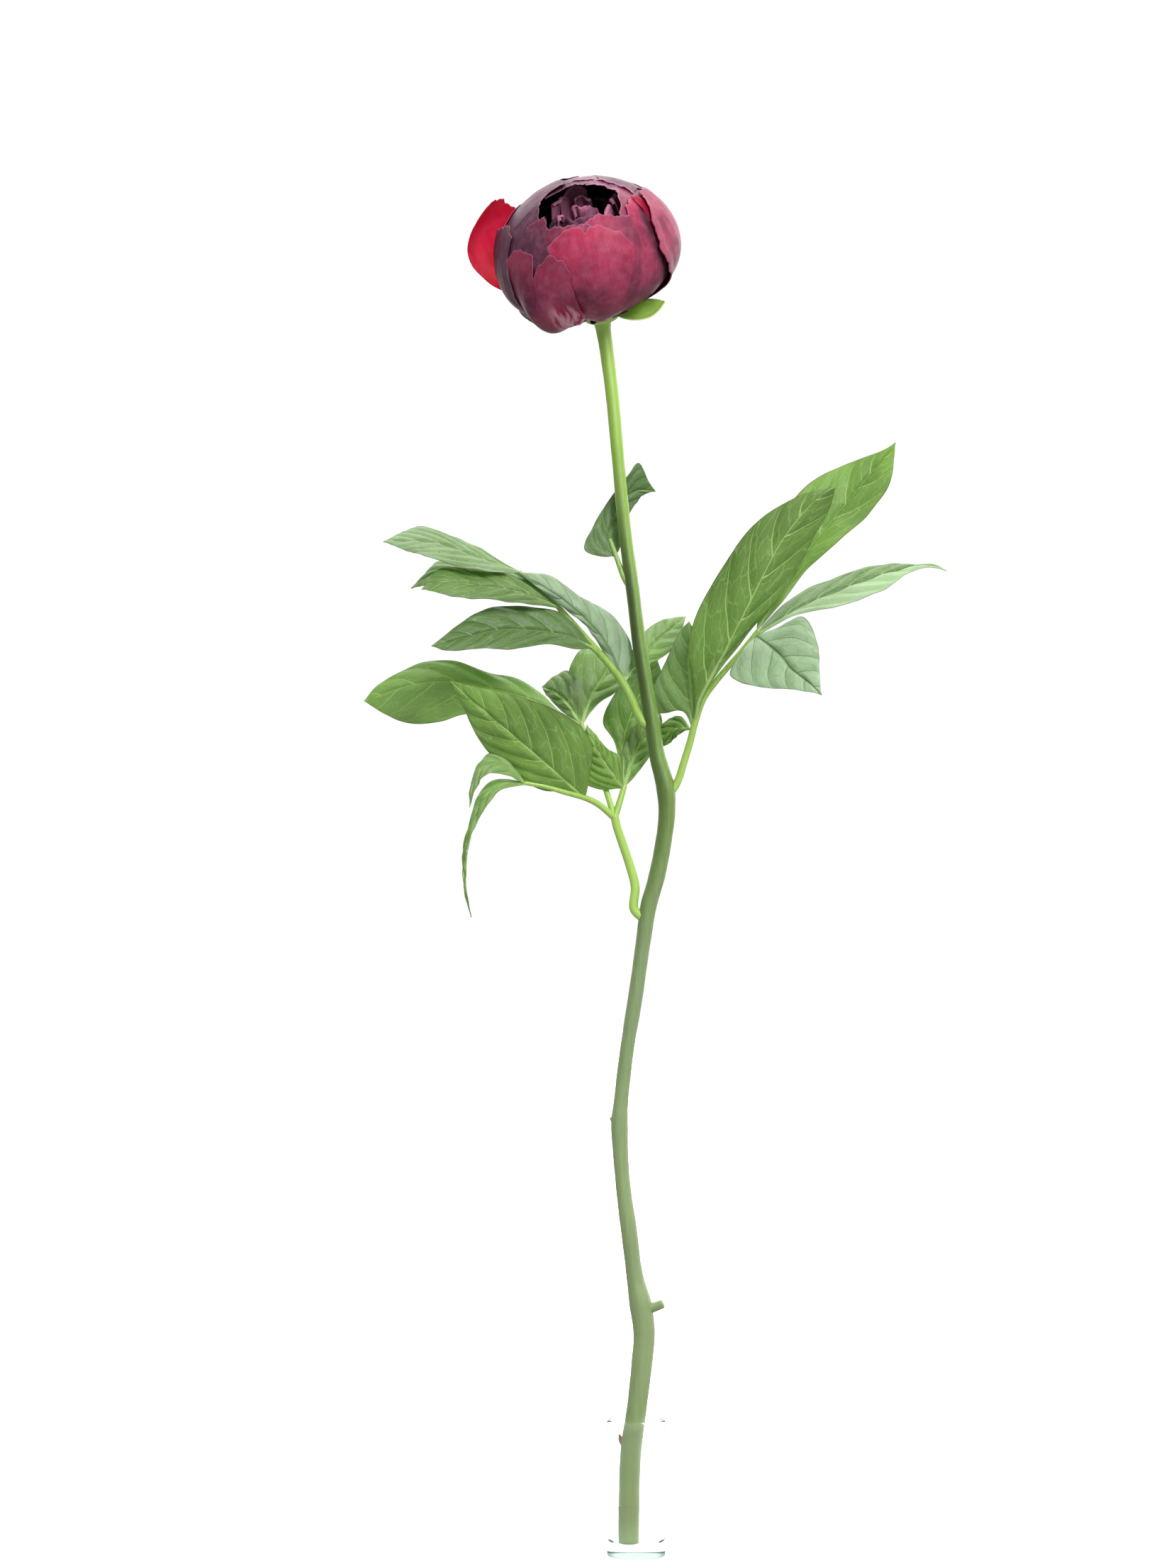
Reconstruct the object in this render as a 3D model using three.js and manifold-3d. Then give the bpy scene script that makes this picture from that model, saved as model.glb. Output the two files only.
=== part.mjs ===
// Peony in a bud vase: one half-open dark peony with its leaves, standing in a little water in a small
// glass tube. Millimetres, +Z up, origin at the middle of the tube's foot. -Y is the front.
import * as THREE from "three";
import { mergeVertices } from "three/addons/utils/BufferGeometryUtils.js";
import Module from "manifold-3d";

const wasm = await Module();
wasm.setup();

// Driving dimensions
const GAP = 0.3; // clearance between neighbouring pieces
const VASE = { radius: 12.4, height: 57.5, wall: 1.8, floor: 4.5, edge: 0.8, corner: 3, sides: 48 };
const WATER = { top: 22, sides: 40, holeSides: 24, holeBelow: 3 };
const STEM_SIDES = 10;
const PETIOLE_SIDES = 6;
const LEAF = { thickness: 0.7, rows: 9, columns: 4, base: 0.7, tip: 0.25, wave: 1.1, waves: 2.6 };
const PETAL = { thickness: 0.7, rows: 6, columns: 5, root: 12 };
const INNER_PETAL = { thickness: 0.7, rows: 4, columns: 4, root: 12 };
const SEPAL = { thickness: 0.8, rows: 5, columns: 4, root: 8 };

// The bloom is a slightly flattened ball that leans to the left and to the front
const BLOOM = { centre: [-19.5, -12.3, 552.2], radius: 39, below: 29, above: 32, leanLeft: 9, leanFront: 27 };

// The plant is laid out as it stands in front view: a point is [across, up, depth], with the depth
// measured behind the tube's axis, as seen by an eye at this place
const EYE = { across: -20.4, up: 326.4, distance: 1871 };

// Stem: [across, up, depth, radius] from the cut end to the flare under the bloom
const STEM = [
  [-3.3, 5.3, -3.3, 4.5], [-3.2, 22, -3.3, 4.5], [-2.9, 34, -3.2, 4.5], [-2.1, 46, -3.0, 4.4],
  [-0.4, 58, -2.8, 4.3], [1.1, 70, -2.4, 4.3], [2.4, 82, -2.0, 4.4], [3.3, 94, -1.6, 4.6],
  [1.8, 106, -1.2, 4.7], [-0.6, 118, -0.8, 3.6], [-3.3, 139, -0.2, 3.4], [-5.3, 154, 0.2, 3.2],
  [-6.6, 169, 0.6, 3.2], [-7.1, 184, 0.9, 3.6], [-6.5, 192, 1.0, 3.1], [-4.1, 213, 1.4, 3.0],
  [-0.3, 237, 1.8, 3.1], [3.1, 261, 2.2, 3.15], [5.2, 275, 2.5, 3.5], [8.3, 286, 2.7, 3.5],
  [11.0, 299, 3.0, 3.45], [12.9, 314, 3.0, 3.6], [12.3, 325, 3.0, 3.9], [9.0, 339, 3.0, 3.1],
  [6.8, 354, 3.0, 2.85], [1.7, 384, 2.8, 2.7], [-1.6, 409, 2.8, 2.85], [-4.8, 433, 3.0, 2.75],
  [-7.9, 466, 3.6, 2.65], [-10.1, 490, 4.5, 2.8], [-12.6, 510, 5.6, 2.95], [-13.9, 518.5, 5.5, 3.3],
  [-14.4, 522.8, 3.7, 4.0],
];

// Small growths on the stem: a cut leaf stub, a side bud in a leaf's angle, a scar and a bud scale
const STEM_GROWTHS = [
  { path: [[3, 104, -1.2], [8, 105.2, -2], [11.2, 106.4, -2.6]], radii: [3, 2.2, 1.9] },
  { path: [[13, 323, 1.5], [14.8, 326.5, -0.2], [15.2, 329.8, -0.8]], radii: [1.6, 1.5, 0.5] },
  { path: [[-8, 183, 0.5], [-10.6, 185.4, 0.2]], radii: [2.4, 1] },
  { path: [[-4.5, 46.5, -3], [-7.0, 49, -3.4], [-7.2, 52, -3.4]], radii: [2, 1.4, 0.5] },
];

// Leaves. A stalk is a path with its radius at both ends. A leaflet has the rib from its base to its
// tip, both edges between them, and how far each edge turns back for each millimetre of its width.
const LEAF_UPPER_LEFT = {
  stalks: [
    { path: [[2.3, 350.5, 3], [0.2, 357, 3], [-3, 364.5, 2.5], [-7.5, 372, 1.5], [-17.3, 383.7, -1],
      [-28, 395.7, -3.5], [-40.4, 409.2, -5.5], [-49.5, 416, -6.5]], radii: [1.7, 1] },
    { path: [[-27, 394.5, -3.3], [-32.3, 401, -4.5]], radii: [1.3, 0.9] },
    { path: [[-17.3, 383.7, -1], [-23.8, 389.1, -5]], radii: [1.3, 0.9] },
  ],
  leaflets: [
    { rib: [[-48, 415.6, -6.5], [-65, 421, -8], [-85, 428, -6], [-107, 429, -2]],
      low: [[-62.9, 416], [-84.2, 421], [-97, 425.1]],
      high: [[-57.2, 420.3], [-65.9, 426], [-78.5, 431.4], [-92.9, 435]], turn: [-2.4, 2.4] },
    { rib: [[-31, 400.4, -4.5], [-50, 407.5, -14], [-68, 410.5, -20], [-82, 412, -23], [-90.8, 408.9, -24]],
      low: [[-42.5, 402], [-60.2, 404.1], [-73.1, 405]],
      high: [[-40.4, 409.5], [-51.8, 414.6], [-68.6, 416.4], [-82.7, 417.6]], turn: [-1.2, 1.2] },
    { rib: [[-41, 410, -5], [-56, 414, 8], [-70, 416.5, 14], [-84, 416, 18], [-95.3, 409.2, 20]],
      low: [[-56, 411], [-70, 412.5], [-84, 411.5]],
      high: [[-55, 417.5], [-70, 420.5], [-83, 420.8]], turn: [-1.5, 1.5] },
    { rib: [[-23, 388.6, -4.6], [-40, 391, -12], [-58, 391.5, -20], [-74, 388, -27], [-86.6, 384.9, -31]],
      low: [[-26, 384.6], [-37.7, 385.3], [-53.3, 383.4], [-66.2, 383.5], [-80, 382.8]],
      high: [[-26.3, 393.3], [-34.7, 399.6], [-46.1, 401.4], [-58.7, 401.4], [-68.6, 398.1], [-75.8, 393.3]],
      turn: [-0.9, 0.7] },
    { rib: [[-5.6, 370.6, 1.8], [-8.6, 377.5, 0.5], [-13.1, 386.4, -2], [-21.5, 396.3, -6],
      [-33.2, 405.6, -10], [-45.8, 417, -12]],
      low: [[-9.5, 375.5], [-17.3, 387.6], [-23.6, 395.4], [-36, 405]],
      high: [[-1.9, 380.7], [-3.4, 388.5], [-11, 398.1], [-23.6, 405], [-35.6, 413.7]], turn: [0.5, 0.8] },
    { rib: [[-5.2, 369.8, 2.2], [-2.0, 374, 9], [5, 383, 14], [13, 391, 24], [20.9, 397.2, 34]],
      low: [[-3, 380], [2.9, 390], [9.8, 395.1], [17, 397]],
      high: [[5.3, 376.8], [9.8, 379.2], [15.2, 383.4], [18.5, 389]], turn: [0.4, -0.2] },
  ],
};

const LEAF_LOWER_LEFT = {
  stalks: [
    { path: [[-0.9, 273.5, 2], [-0.5, 283, 1.4], [-2.9, 292.5, 0.8], [-5.6, 300.6, 0.4], [-8.3, 308.7, 0],
      [-9.2, 313, 0]], radii: [2, 1.8] },
    { path: [[-9, 312, 0], [-15.8, 317.7, -3], [-21.2, 320.4, -5], [-30.8, 323.1, -9], [-39, 325.5, -11],
      [-47, 326.8, -12]], radii: [1.5, 0.9] },
    { path: [[-9.2, 312, 0], [-12.5, 323, 4], [-18, 338, 10], [-23.5, 352.5, 14]], radii: [1.4, 1] },
    { path: [[-9.2, 312, 0], [-7, 319, 1.5], [-5, 325.8, 3]], radii: [1.5, 1.2] },
  ],
  leaflets: [
    { rib: [[-21.5, 320.6, -5], [-29.6, 327.6, -11], [-36.2, 333.3, -15], [-51.2, 346.2, -21],
      [-61.1, 354.6, -24], [-78.5, 369.9, -26]],
      low: [[-31.7, 323.4], [-39.8, 324], [-51.5, 330.6], [-64.4, 342.3], [-72.8, 357.9]],
      high: [[-20, 328], [-18.5, 342.3], [-22.1, 349.5], [-29, 354.9], [-40.4, 360.6], [-54.5, 364.8],
        [-68.6, 367.8]], turn: [0.5, -0.2] },
    { rib: [[-22.8, 351, 13.5], [-40.4, 360.6, 11], [-60, 366.5, 7], [-78, 369.6, 5], [-96, 368, 7],
      [-115.1, 361.5, 14]],
      low: [[-40, 357], [-58, 357.5], [-73.7, 355.8], [-82.7, 352.8], [-97, 352.2], [-107, 356.4]],
      high: [[-33.2, 357.9], [-40.4, 364.8], [-51.8, 371.4], [-62.9, 373.5], [-77.3, 378.3], [-91.4, 377.4],
        [-109.7, 367.8]], turn: [0.2, 0.6] },
    { rib: [[-45, 326.6, -12], [-57, 328, -15], [-66, 322, -18], [-70.5, 310, -21], [-72.5, 295, -23],
      [-72.8, 281, -22], [-69.8, 270, -19]],
      low: [[-53.6, 325.5], [-62.3, 320], [-67.5, 311], [-71.7, 297], [-72, 281]],
      high: [[-52, 331], [-61.7, 338], [-68.6, 330], [-71.5, 316], [-73.3, 297], [-74, 280]],
      turn: [-3, 1.8] },
    { rib: [[-5.6, 324.4, 2.6], [-8.3, 328.8, -1], [-12.8, 334.8, -4], [-17.3, 343.2, -8],
      [-20.9, 351.3, -11]],
      low: [[-8, 324.6], [-13.7, 324], [-20.5, 326], [-22.5, 334], [-22.5, 343]],
      high: [[-5.7, 328.5], [-6.7, 337.5], [-12.2, 341.4], [-16.7, 346.5]], turn: [0.4, 0.5] },
    { rib: [[-5, 325, 3.2], [-2.5, 334, 10], [1, 343, 17], [6, 352, 24], [9.5, 358, 30]],
      low: [[-6.5, 333.6], [-6.5, 337.5], [-5.3, 343.2], [-2.6, 348.6], [3, 354]],
      high: [[-0.5, 329.7], [5.3, 337.5], [10, 346], [11, 353]], turn: [0.3, 0.2] },
    { rib: [[-23.5, 351.5, 14], [-30, 362, 26], [-34, 370, 36], [-35, 376, 46]],
      low: [[-33, 358], [-39.5, 366.6], [-38, 372]],
      high: [[-27, 361], [-29.5, 369], [-31, 374]], turn: [0.3, 0.5] },
    { rib: [[-23, 351.5, 14], [-19.1, 363.9, 26], [-13.7, 372.3, 38], [-10, 382, 52]],
      low: [[-26, 360], [-28.7, 372.6], [-23, 383.1]],
      high: [[-16.1, 360.3], [-7.1, 366.9], [-6.5, 374]], turn: [0.5, 0.3] },
    { rib: [[-5.2, 325.4, 3.2], [-5.5, 343, 17], [-2, 356, 27], [3, 368, 36], [9, 379, 43]],
      low: [[-9.2, 343.5], [-14, 352.5], [-10.4, 362.4], [-2, 373]],
      high: [[-2, 338], [4, 347], [8.5, 358], [11.5, 369]], turn: [0.4, 0.2] },
  ],
};

const LEAF_RIGHT = {
  stalks: [
    { path: [[18.4, 325, 3], [20.6, 334.8, 2.5], [23, 344.7, 2], [24.8, 352.2, 1.5], [28.4, 362.4, 1],
      [33.5, 369.6, 0.8], [44.3, 382.2, 0.5], [51.8, 391.5, 0.5]], radii: [1.7, 1.1] },
  ],
  leaflets: [
    { rib: [[24.4, 351, 1.5], [27.8, 364.2, -4], [38.3, 384, -9], [48.2, 403.5, -13], [62.9, 431.1, -16],
      [77.6, 448.2, -17], [84.2, 452.4, -17]],
      low: [[24.2, 369.6], [22.5, 385.5], [26, 399.3], [37.1, 418.8], [48.2, 434.4], [60.5, 444],
        [73, 449.8]],
      high: [[30.8, 366.6], [43.7, 383.4], [61.7, 407.4], [72.2, 425.7], [81.2, 441.6], [83.6, 448.8]],
      turn: [0.25, 0.9] },
    { rib: [[50.6, 390.3, 0.5], [61.7, 407.4, 6], [72.2, 424.5, 9], [87.5, 443.4, 12], [103.4, 462.9, 12],
      [109.7, 470.9, 11]],
      low: [[53, 405], [55, 420], [60, 436], [72.2, 452.7], [86, 460.5], [105.2, 468]],
      high: [[61.7, 403], [72.8, 417.6], [84.8, 428.1], [98.3, 440.4], [107.6, 454.5], [109.2, 464]],
      turn: [0.3, -0.7] },
    { rib: [[50, 388.8, 0.5], [69.5, 400.5, 6], [87.2, 408.3, 12], [104.9, 414.9, 17], [119.3, 418.5, 20],
      [125.3, 418.8, 21], [131.3, 416.7, 22]],
      low: [[55.4, 395.4], [68.3, 406.5], [86, 414.3], [104.9, 419.1], [119, 419.3], [126, 419.2]],
      high: [[68.3, 397.8], [83.6, 401.1], [103.7, 407.7], [117, 416.5], [125, 418]], turn: [1.8, -1.8] },
    { rib: [[50.5, 389.2, 0.3], [60.5, 381.6, -14], [65.9, 375, -25], [73.1, 369.3, -37], [78.3, 364.2, -46]],
      low: [[42, 378.5], [39.8, 372.3], [47.6, 368.1], [65.3, 366.4], [73.1, 365.2]],
      high: [[58, 391.6], [70.7, 396.9], [76.7, 385.8], [77.6, 375]], turn: [0.1, 0.5] },
    { rib: [[24, 349.5, 1.7], [23, 365.7, 5], [22.1, 378, 7], [22.7, 389, 8], [22.4, 395.1, 8]],
      low: [[19.7, 357], [9.2, 356.7], [7.7, 366.9], [10.7, 374.1], [14.6, 383.1], [19, 391.5]],
      high: [[26, 362], [27, 375], [26, 388]], turn: [0.45, 0.3] },
    { rib: [[23, 349.6, 2.2], [18, 350.5, 8], [13, 347.5, 12.5], [9, 344, 16]],
      low: [[20.5, 348.8], [16.4, 345.8], [12, 342.5]],
      high: [[19, 355], [14, 354], [9.5, 349.5]], turn: [0.3, 0.3] },
  ],
};

const LEAF_TOP = {
  stalks: [
    { path: [[-6.9, 413.5, 2.8], [-8.4, 419.1, 4.2], [-10, 424.5, 5.6], [-11.2, 429.9, 7]],
      radii: [1.15, 0.8] },
  ],
  leaflets: [
    { rib: [[-9.3, 423, 5.4], [-11.3, 430, 7.2], [-10, 438, 9.7], [-6, 446, 11.7], [0, 450.5, 13.2],
      [8.2, 450.3, 15.2]],
      low: [[-13.7, 422.5], [-22, 425.5], [-17.6, 436.8], [-11, 447.3], [-3.8, 457.2], [1, 462.3],
        [5.5, 454]],
      high: [[-7.5, 425], [-5.5, 432], [-2.3, 442], [1.6, 447.6], [5, 449.6]], turn: [-0.3, 0.5] },
  ],
};

// Petals and sepals lie on the bloom's ball. start and end are the two side edges, as angles round its
// axis from the right over the front, at the root, the middle and the rim. rim is the height of the
// rim across the petal, as an angle from the root. swell scales the ball from the root to the rim.
const PETALS = [
  { start: [138, 112, 97], end: [152, 163, 150], rim: [99, 110, 109, 95, 113, 110, 106],
    swell: [1, 1.18, 1.09, 1.02], columns: 7 },
  { start: [80, 70, 57], end: [105, 101, 119], rim: [107, 122, 128, 129, 125, 129, 126, 114],
    swell: [1, 1.02, 1, 0.99], columns: 7 },
  { start: [-5, -20, -24], end: [30, 44, 28], rim: [105, 126, 135, 127], swell: [1, 1.09, 1.04, 1] },
  { start: [25, 22, 15], end: [50, 60, 54], rim: [125, 139, 134, 119], swell: [1, 1.02, 1, 0.97] },
  { start: [175, 172, 178], end: [205, 225, 238], rim: [108, 120, 128, 129, 124, 114],
    swell: [1, 1.02, 1.1, 1.27, 1.17] },
  { start: [150, 146, 150], end: [170, 178, 184], rim: [121, 124, 121, 112], swell: [1, 1.1, 1.05, 1.02] },
  { start: [120, 108, 105], end: [150, 158, 157], rim: [130, 140, 147, 136, 112], swell: [1, 1, 1, 0.99] },
  { start: [125, 120, 120], end: [135, 133, 132], rim: [130, 134, 130], swell: [1, 0.96, 0.97, 1.03],
    columns: 3 },
  { start: [90, 82, 78], end: [120, 130, 132], rim: [128, 131, 132, 129, 125], swell: [1, 0.96, 0.96, 0.97] },
  { start: [60, 50, 45], end: [85, 92, 90], rim: [118, 130, 135, 135, 131], swell: [1, 0.94, 0.93, 0.94] },
  { start: [160, 150, 142], end: [235, 262, 268], rim: [140, 158, 168, 168, 150, 140],
    swell: [1, 0.98, 0.96, 0.97] },
  { start: [-60, -72, -75], end: [40, 48, 47], rim: [135, 148, 156, 157, 150, 136],
    swell: [1, 0.96, 0.94, 0.94] },
  { start: [-60, -72, -74], end: [-20, -8, -6], rim: [120, 130, 131, 122], swell: [1, 1.02, 1, 0.98] },
  { start: [-125, -130, -128], end: [-75, -62, -60], rim: [116, 126, 130, 128, 116],
    swell: [1, 1.08, 1.05, 1.01] },
  { start: [-178, -188, -188], end: [-120, -108, -105], rim: [112, 124, 128, 122],
    swell: [1, 1.04, 1.01, 0.98] },
];
const INNER_PETALS = [
  { start: [-120, -130, -132], end: [-75, -62, -60], rim: [140, 150, 152, 142],
    swell: [1, 0.86, 0.78, 0.72] },
  { start: [-30, -34, -34], end: [30, 48, 48], rim: [134, 146, 144, 132], swell: [1, 0.86, 0.8, 0.78] },
  { start: [140, 136, 132], end: [205, 212, 214], rim: [132, 142, 146, 136], swell: [1, 0.88, 0.8, 0.74] },
  { start: [65, 58, 60], end: [115, 126, 128], rim: [148, 158, 160, 148], swell: [1, 0.84, 0.78, 0.74] },
  { start: [0, -10, -14], end: [80, 100, 108], rim: [140, 152, 150, 138], swell: [1, 0.7, 0.58, 0.5] },
  { start: [115, 108, 104], end: [190, 215, 222], rim: [142, 154, 150, 140], swell: [1, 0.66, 0.54, 0.46] },
  { start: [235, 228, 226], end: [315, 335, 338], rim: [144, 156, 154, 142], swell: [1, 0.68, 0.56, 0.5] },
];
// The petals' seat, as [distance from the axis, height above the root], and the cup under it
const RECEPTACLE = { profile: [[0, -0.2], [6.5, 0.2], [9.5, 3], [9, 7], [5, 12], [0, 14]], sides: 16 };
const SEPALS = [
  { start: [10, 22, 34], end: [70, 74, 52], rim: [50, 60, 58, 54], swell: [1.1, 1.12, 1.15, 1.15] },
  { start: [150, 166, 176], end: [210, 208, 194], rim: [50, 58, 62, 52], swell: [1.1, 1.16, 1.18, 1.2] },
  { start: [-175, -150, -135], end: [-110, -104, -116], rim: [58, 66, 60], swell: [1.1, 1.13, 1.14, 1.13] },
  { start: [-80, -80, -64], end: [-20, -22, -44], rim: [54, 64, 58], swell: [1.1, 1.13, 1.14, 1.12] },
  { start: [84, 100, 108], end: [124, 124, 116], rim: [22, 27, 23], swell: [1.1, 1.1, 1.12, 1.14] },
];
const CALYX_CUP = { radius: 7.4, low: -3.5, high: -1.2, rounding: 0.8, sides: 20 };

const radians = THREE.MathUtils.degToRad;

// A point of the front view layout at its true place
function place([across, up, depth]) {
  const spread = (EYE.distance + depth) / EYE.distance;
  return new THREE.Vector3(
    EYE.across + (across - EYE.across) * spread,
    depth,
    EYE.up + (up - EYE.up) * spread,
  );
}

// Evenly spaced points on a smooth curve through the given ones
function along(points, count) {
  const curve = new THREE.CatmullRomCurve3(points.map(([x, y, z = 0]) => new THREE.Vector3(x, y, z)));
  return curve.getSpacedPoints(count).map((point) => point.toArray());
}

// Value at t of a smooth curve through evenly spaced values
function ramp(values, t) {
  const curve = new THREE.SplineCurve(values.map((value, i) => new THREE.Vector2(i, value)));
  return curve.getPoint(THREE.MathUtils.clamp(t, 0, 1)).y;
}

function indexed(positions, triangles) {
  const geometry = new THREE.BufferGeometry();
  geometry.setAttribute("position", new THREE.Float32BufferAttribute(positions, 3));
  geometry.setIndex(triangles);
  return geometry;
}

// A closed sheet of one thickness about a grid of points, split into like triangles on both faces
function sheet(grid, thickness) {
  const rows = grid.length;
  const columns = grid[0].length;
  const normal = (i, j) => {
    const sideways = grid[i][Math.min(j + 1, columns - 1)].clone().sub(grid[i][Math.max(j - 1, 0)]);
    const onward = grid[Math.min(i + 1, rows - 1)][j].clone().sub(grid[Math.max(i - 1, 0)][j]);
    return sideways.cross(onward).normalize();
  };
  const positions = [];
  for (const side of [0.5, -0.5]) {
    grid.forEach((row, i) => row.forEach((point, j) => {
      positions.push(...point.clone().addScaledVector(normal(i, j), side * thickness).toArray());
    }));
  }
  const front = (i, j) => i * columns + j;
  const back = (i, j) => rows * columns + front(i, j);
  const triangles = [];
  for (let i = 0; i < rows - 1; i++) {
    for (let j = 0; j < columns - 1; j++) {
      const corners = [[i, j], [i, j + 1], [i + 1, j + 1], [i + 1, j]];
      const [a, b, c, d] = corners.map(([row, column]) => front(row, column));
      const [e, f, g, h] = corners.map(([row, column]) => back(row, column));
      triangles.push(a, b, c, a, c, d, e, g, f, e, h, g);
    }
  }
  const border = [];
  for (let j = 0; j < columns - 1; j++) border.push([0, j]);
  for (let i = 0; i < rows - 1; i++) border.push([i, columns - 1]);
  for (let j = columns - 1; j > 0; j--) border.push([rows - 1, j]);
  for (let i = rows - 1; i > 0; i--) border.push([i, 0]);
  border.forEach(([i, j], k) => {
    const [m, n] = border[(k + 1) % border.length];
    triangles.push(front(m, n), front(i, j), back(i, j), front(m, n), back(i, j), back(m, n));
  });
  return indexed(positions, triangles);
}

// A closed round rod through true points, with a radius at each
function rod(points, radii, sides) {
  const last = points.length - 1;
  const positions = [];
  const side = new THREE.Vector3(1, 0, 0);
  points.forEach((point, i) => {
    const ahead = points[Math.min(i + 1, last)].clone().sub(points[Math.max(i - 1, 0)]).normalize();
    side.addScaledVector(ahead, -side.dot(ahead)).normalize();
    const across = ahead.clone().cross(side);
    for (let k = 0; k < sides; k++) {
      const turn = (2 * Math.PI * k) / sides;
      const rim = point.clone().addScaledVector(side, radii[i] * Math.cos(turn));
      positions.push(...rim.addScaledVector(across, radii[i] * Math.sin(turn)).toArray());
    }
  });
  positions.push(...points[0].toArray(), ...points[last].toArray());
  const lowEnd = points.length * sides;
  const triangles = [];
  for (let k = 0; k < sides; k++) {
    const next = (k + 1) % sides;
    for (let i = 0; i < last; i++) {
      const low = i * sides;
      const high = low + sides;
      triangles.push(low + k, low + next, high + next, low + k, high + next, high + k);
    }
    triangles.push(lowEnd, next, k, lowEnd + 1, last * sides + k, last * sides + next);
  }
  return indexed(positions, triangles);
}

// Joining and cutting of closed geometry
function toSolid(geometry) {
  const bare = geometry.clone();
  bare.deleteAttribute("normal");
  bare.deleteAttribute("uv");
  const merged = mergeVertices(bare, 1e-4);
  const corners = merged.index.array;
  const triangles = [];
  for (let i = 0; i < corners.length; i += 3) {
    const [a, b, c] = corners.slice(i, i + 3);
    if (a !== b && b !== c && c !== a) triangles.push(a, b, c);
  }
  return new wasm.Manifold(new wasm.Mesh({
    numProp: 3,
    vertProperties: new Float32Array(merged.attributes.position.array),
    triVerts: new Uint32Array(triangles),
  }));
}

function toGeometry(solid) {
  const mesh = solid.getMesh();
  return indexed(Array.from(mesh.vertProperties), Array.from(mesh.triVerts));
}

// Closed forms grown into one body. A hollow that they shut in is filled, and a loose scrap is dropped.
function join(geometries) {
  const [first, ...others] = geometries.map(toSolid);
  const whole = others.reduce((sum, next) => sum.add(next), first);
  const bodies = whole.decompose().sort((a, b) => b.volume() - a.volume());
  return toGeometry(bodies[0]);
}

function cut(geometry, cutter) {
  return toGeometry(toSolid(geometry).subtract(toSolid(cutter)));
}

// A quarter round from one direction to another, as [radius, height] points
function quarter(centre, size, from, to, steps = 4) {
  return Array.from({ length: steps + 1 }, (_, i) => {
    const turn = radians(from + ((to - from) * i) / steps);
    return [centre[0] + size * Math.cos(turn), centre[1] + size * Math.sin(turn)];
  });
}

function lathe(profile, sides) {
  const geometry = new THREE.LatheGeometry(profile.map(([r, h]) => new THREE.Vector2(r, h)), sides);
  geometry.rotateX(Math.PI / 2);
  return geometry;
}

function vaseGeometry() {
  const { radius, height, wall, floor, edge, corner, sides } = VASE;
  const inner = radius - wall;
  return join([lathe([
    [0, 0],
    ...quarter([radius - edge, edge], edge, -90, 0, 3),
    ...quarter([radius - wall / 2, height - wall / 2], wall / 2, 0, 180),
    ...quarter([inner - corner, floor + corner], corner, 0, -90),
    [0, floor],
  ], sides)]);
}

function stemPoints() {
  const points = STEM.map(([x, up, depth]) => place([x, up, depth]));
  return { points, radii: STEM.map((station) => station[3]) };
}

// The water fills the tube's foot, with a plain hole where the stem stands in it
function waterGeometry() {
  const { radius: tube, wall, floor, corner } = VASE;
  const outer = tube - wall - GAP;
  const body = lathe([
    [0, floor + GAP],
    ...quarter([outer - corner, floor + GAP + corner], corner, -90, 0),
    [outer, WATER.top],
    [0, WATER.top],
  ], WATER.sides);
  const { points, radii } = stemPoints();
  const foot = points[0].clone().add(new THREE.Vector3(0, 0, -WATER.holeBelow));
  const holeRadii = [radii[0], ...radii.slice(0, 4)].map((radius) => radius + GAP);
  return cut(body, rod([foot, ...points.slice(0, 4)], holeRadii, WATER.holeSides));
}

function stemGeometry() {
  const { points, radii } = stemPoints();
  const growths = STEM_GROWTHS.map((growth) => rod(growth.path.map(place), growth.radii, PETIOLE_SIDES));
  return join([rod(points, radii, STEM_SIDES), ...growths]);
}

function stalkGeometry({ path, radii }) {
  const steps = Math.max(2, 2 * (path.length - 1));
  const points = along(path, steps).map(place);
  const taper = points.map((_, i) => THREE.MathUtils.lerp(radii[0], radii[1], i / steps));
  return rod(points, taper, PETIOLE_SIDES);
}

// A leaflet is a grid between its two edges and its rib, with its edges waved to and fro
function leafletGeometry({ rib, low, high, turn }, order) {
  const { rows, columns, thickness, base, tip, wave, waves } = LEAF;
  const spine = along(rib, rows);
  const ends = [rib[0], rib[rib.length - 1]].map(([x, up]) => [x, up]);
  const edges = [low, high].map((edge) => along([ends[0], ...edge, ends[1]], rows));
  const grid = spine.map(([x, up, depth], i) => {
    const t = i / rows;
    return Array.from({ length: columns + 1 }, (_, j) => {
      const across = (2 * j) / columns - 1;
      const side = across < 0 ? 0 : 1;
      const share = Math.abs(across);
      const [edgeX, edgeUp] = edges[side][i];
      const width = Math.hypot(edgeX - x, edgeUp - up);
      const ripple = wave * Math.sin(2 * Math.PI * waves * t + order + 2 * side) * Math.sin(Math.PI * t);
      const back = share * turn[side] * width + share * share * ripple;
      const point = place([x + (edgeX - x) * share, up + (edgeUp - up) * share, depth + back]);
      return { point, across };
    });
  });
  // The base and the tip keep a little width
  for (const [end, next, width] of [[0, 1, base], [rows, rows - 1, tip]]) {
    const direction = grid[next][columns].point.clone().sub(grid[next][0].point).normalize();
    for (const { point, across } of grid[end]) point.addScaledVector(direction, across * width);
  }
  return sheet(grid.map((row) => row.map(({ point }) => point)), thickness);
}

function leafGeometry({ stalks, leaflets }) {
  return join([...stalks.map(stalkGeometry), ...leaflets.map(leafletGeometry)]);
}

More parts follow.
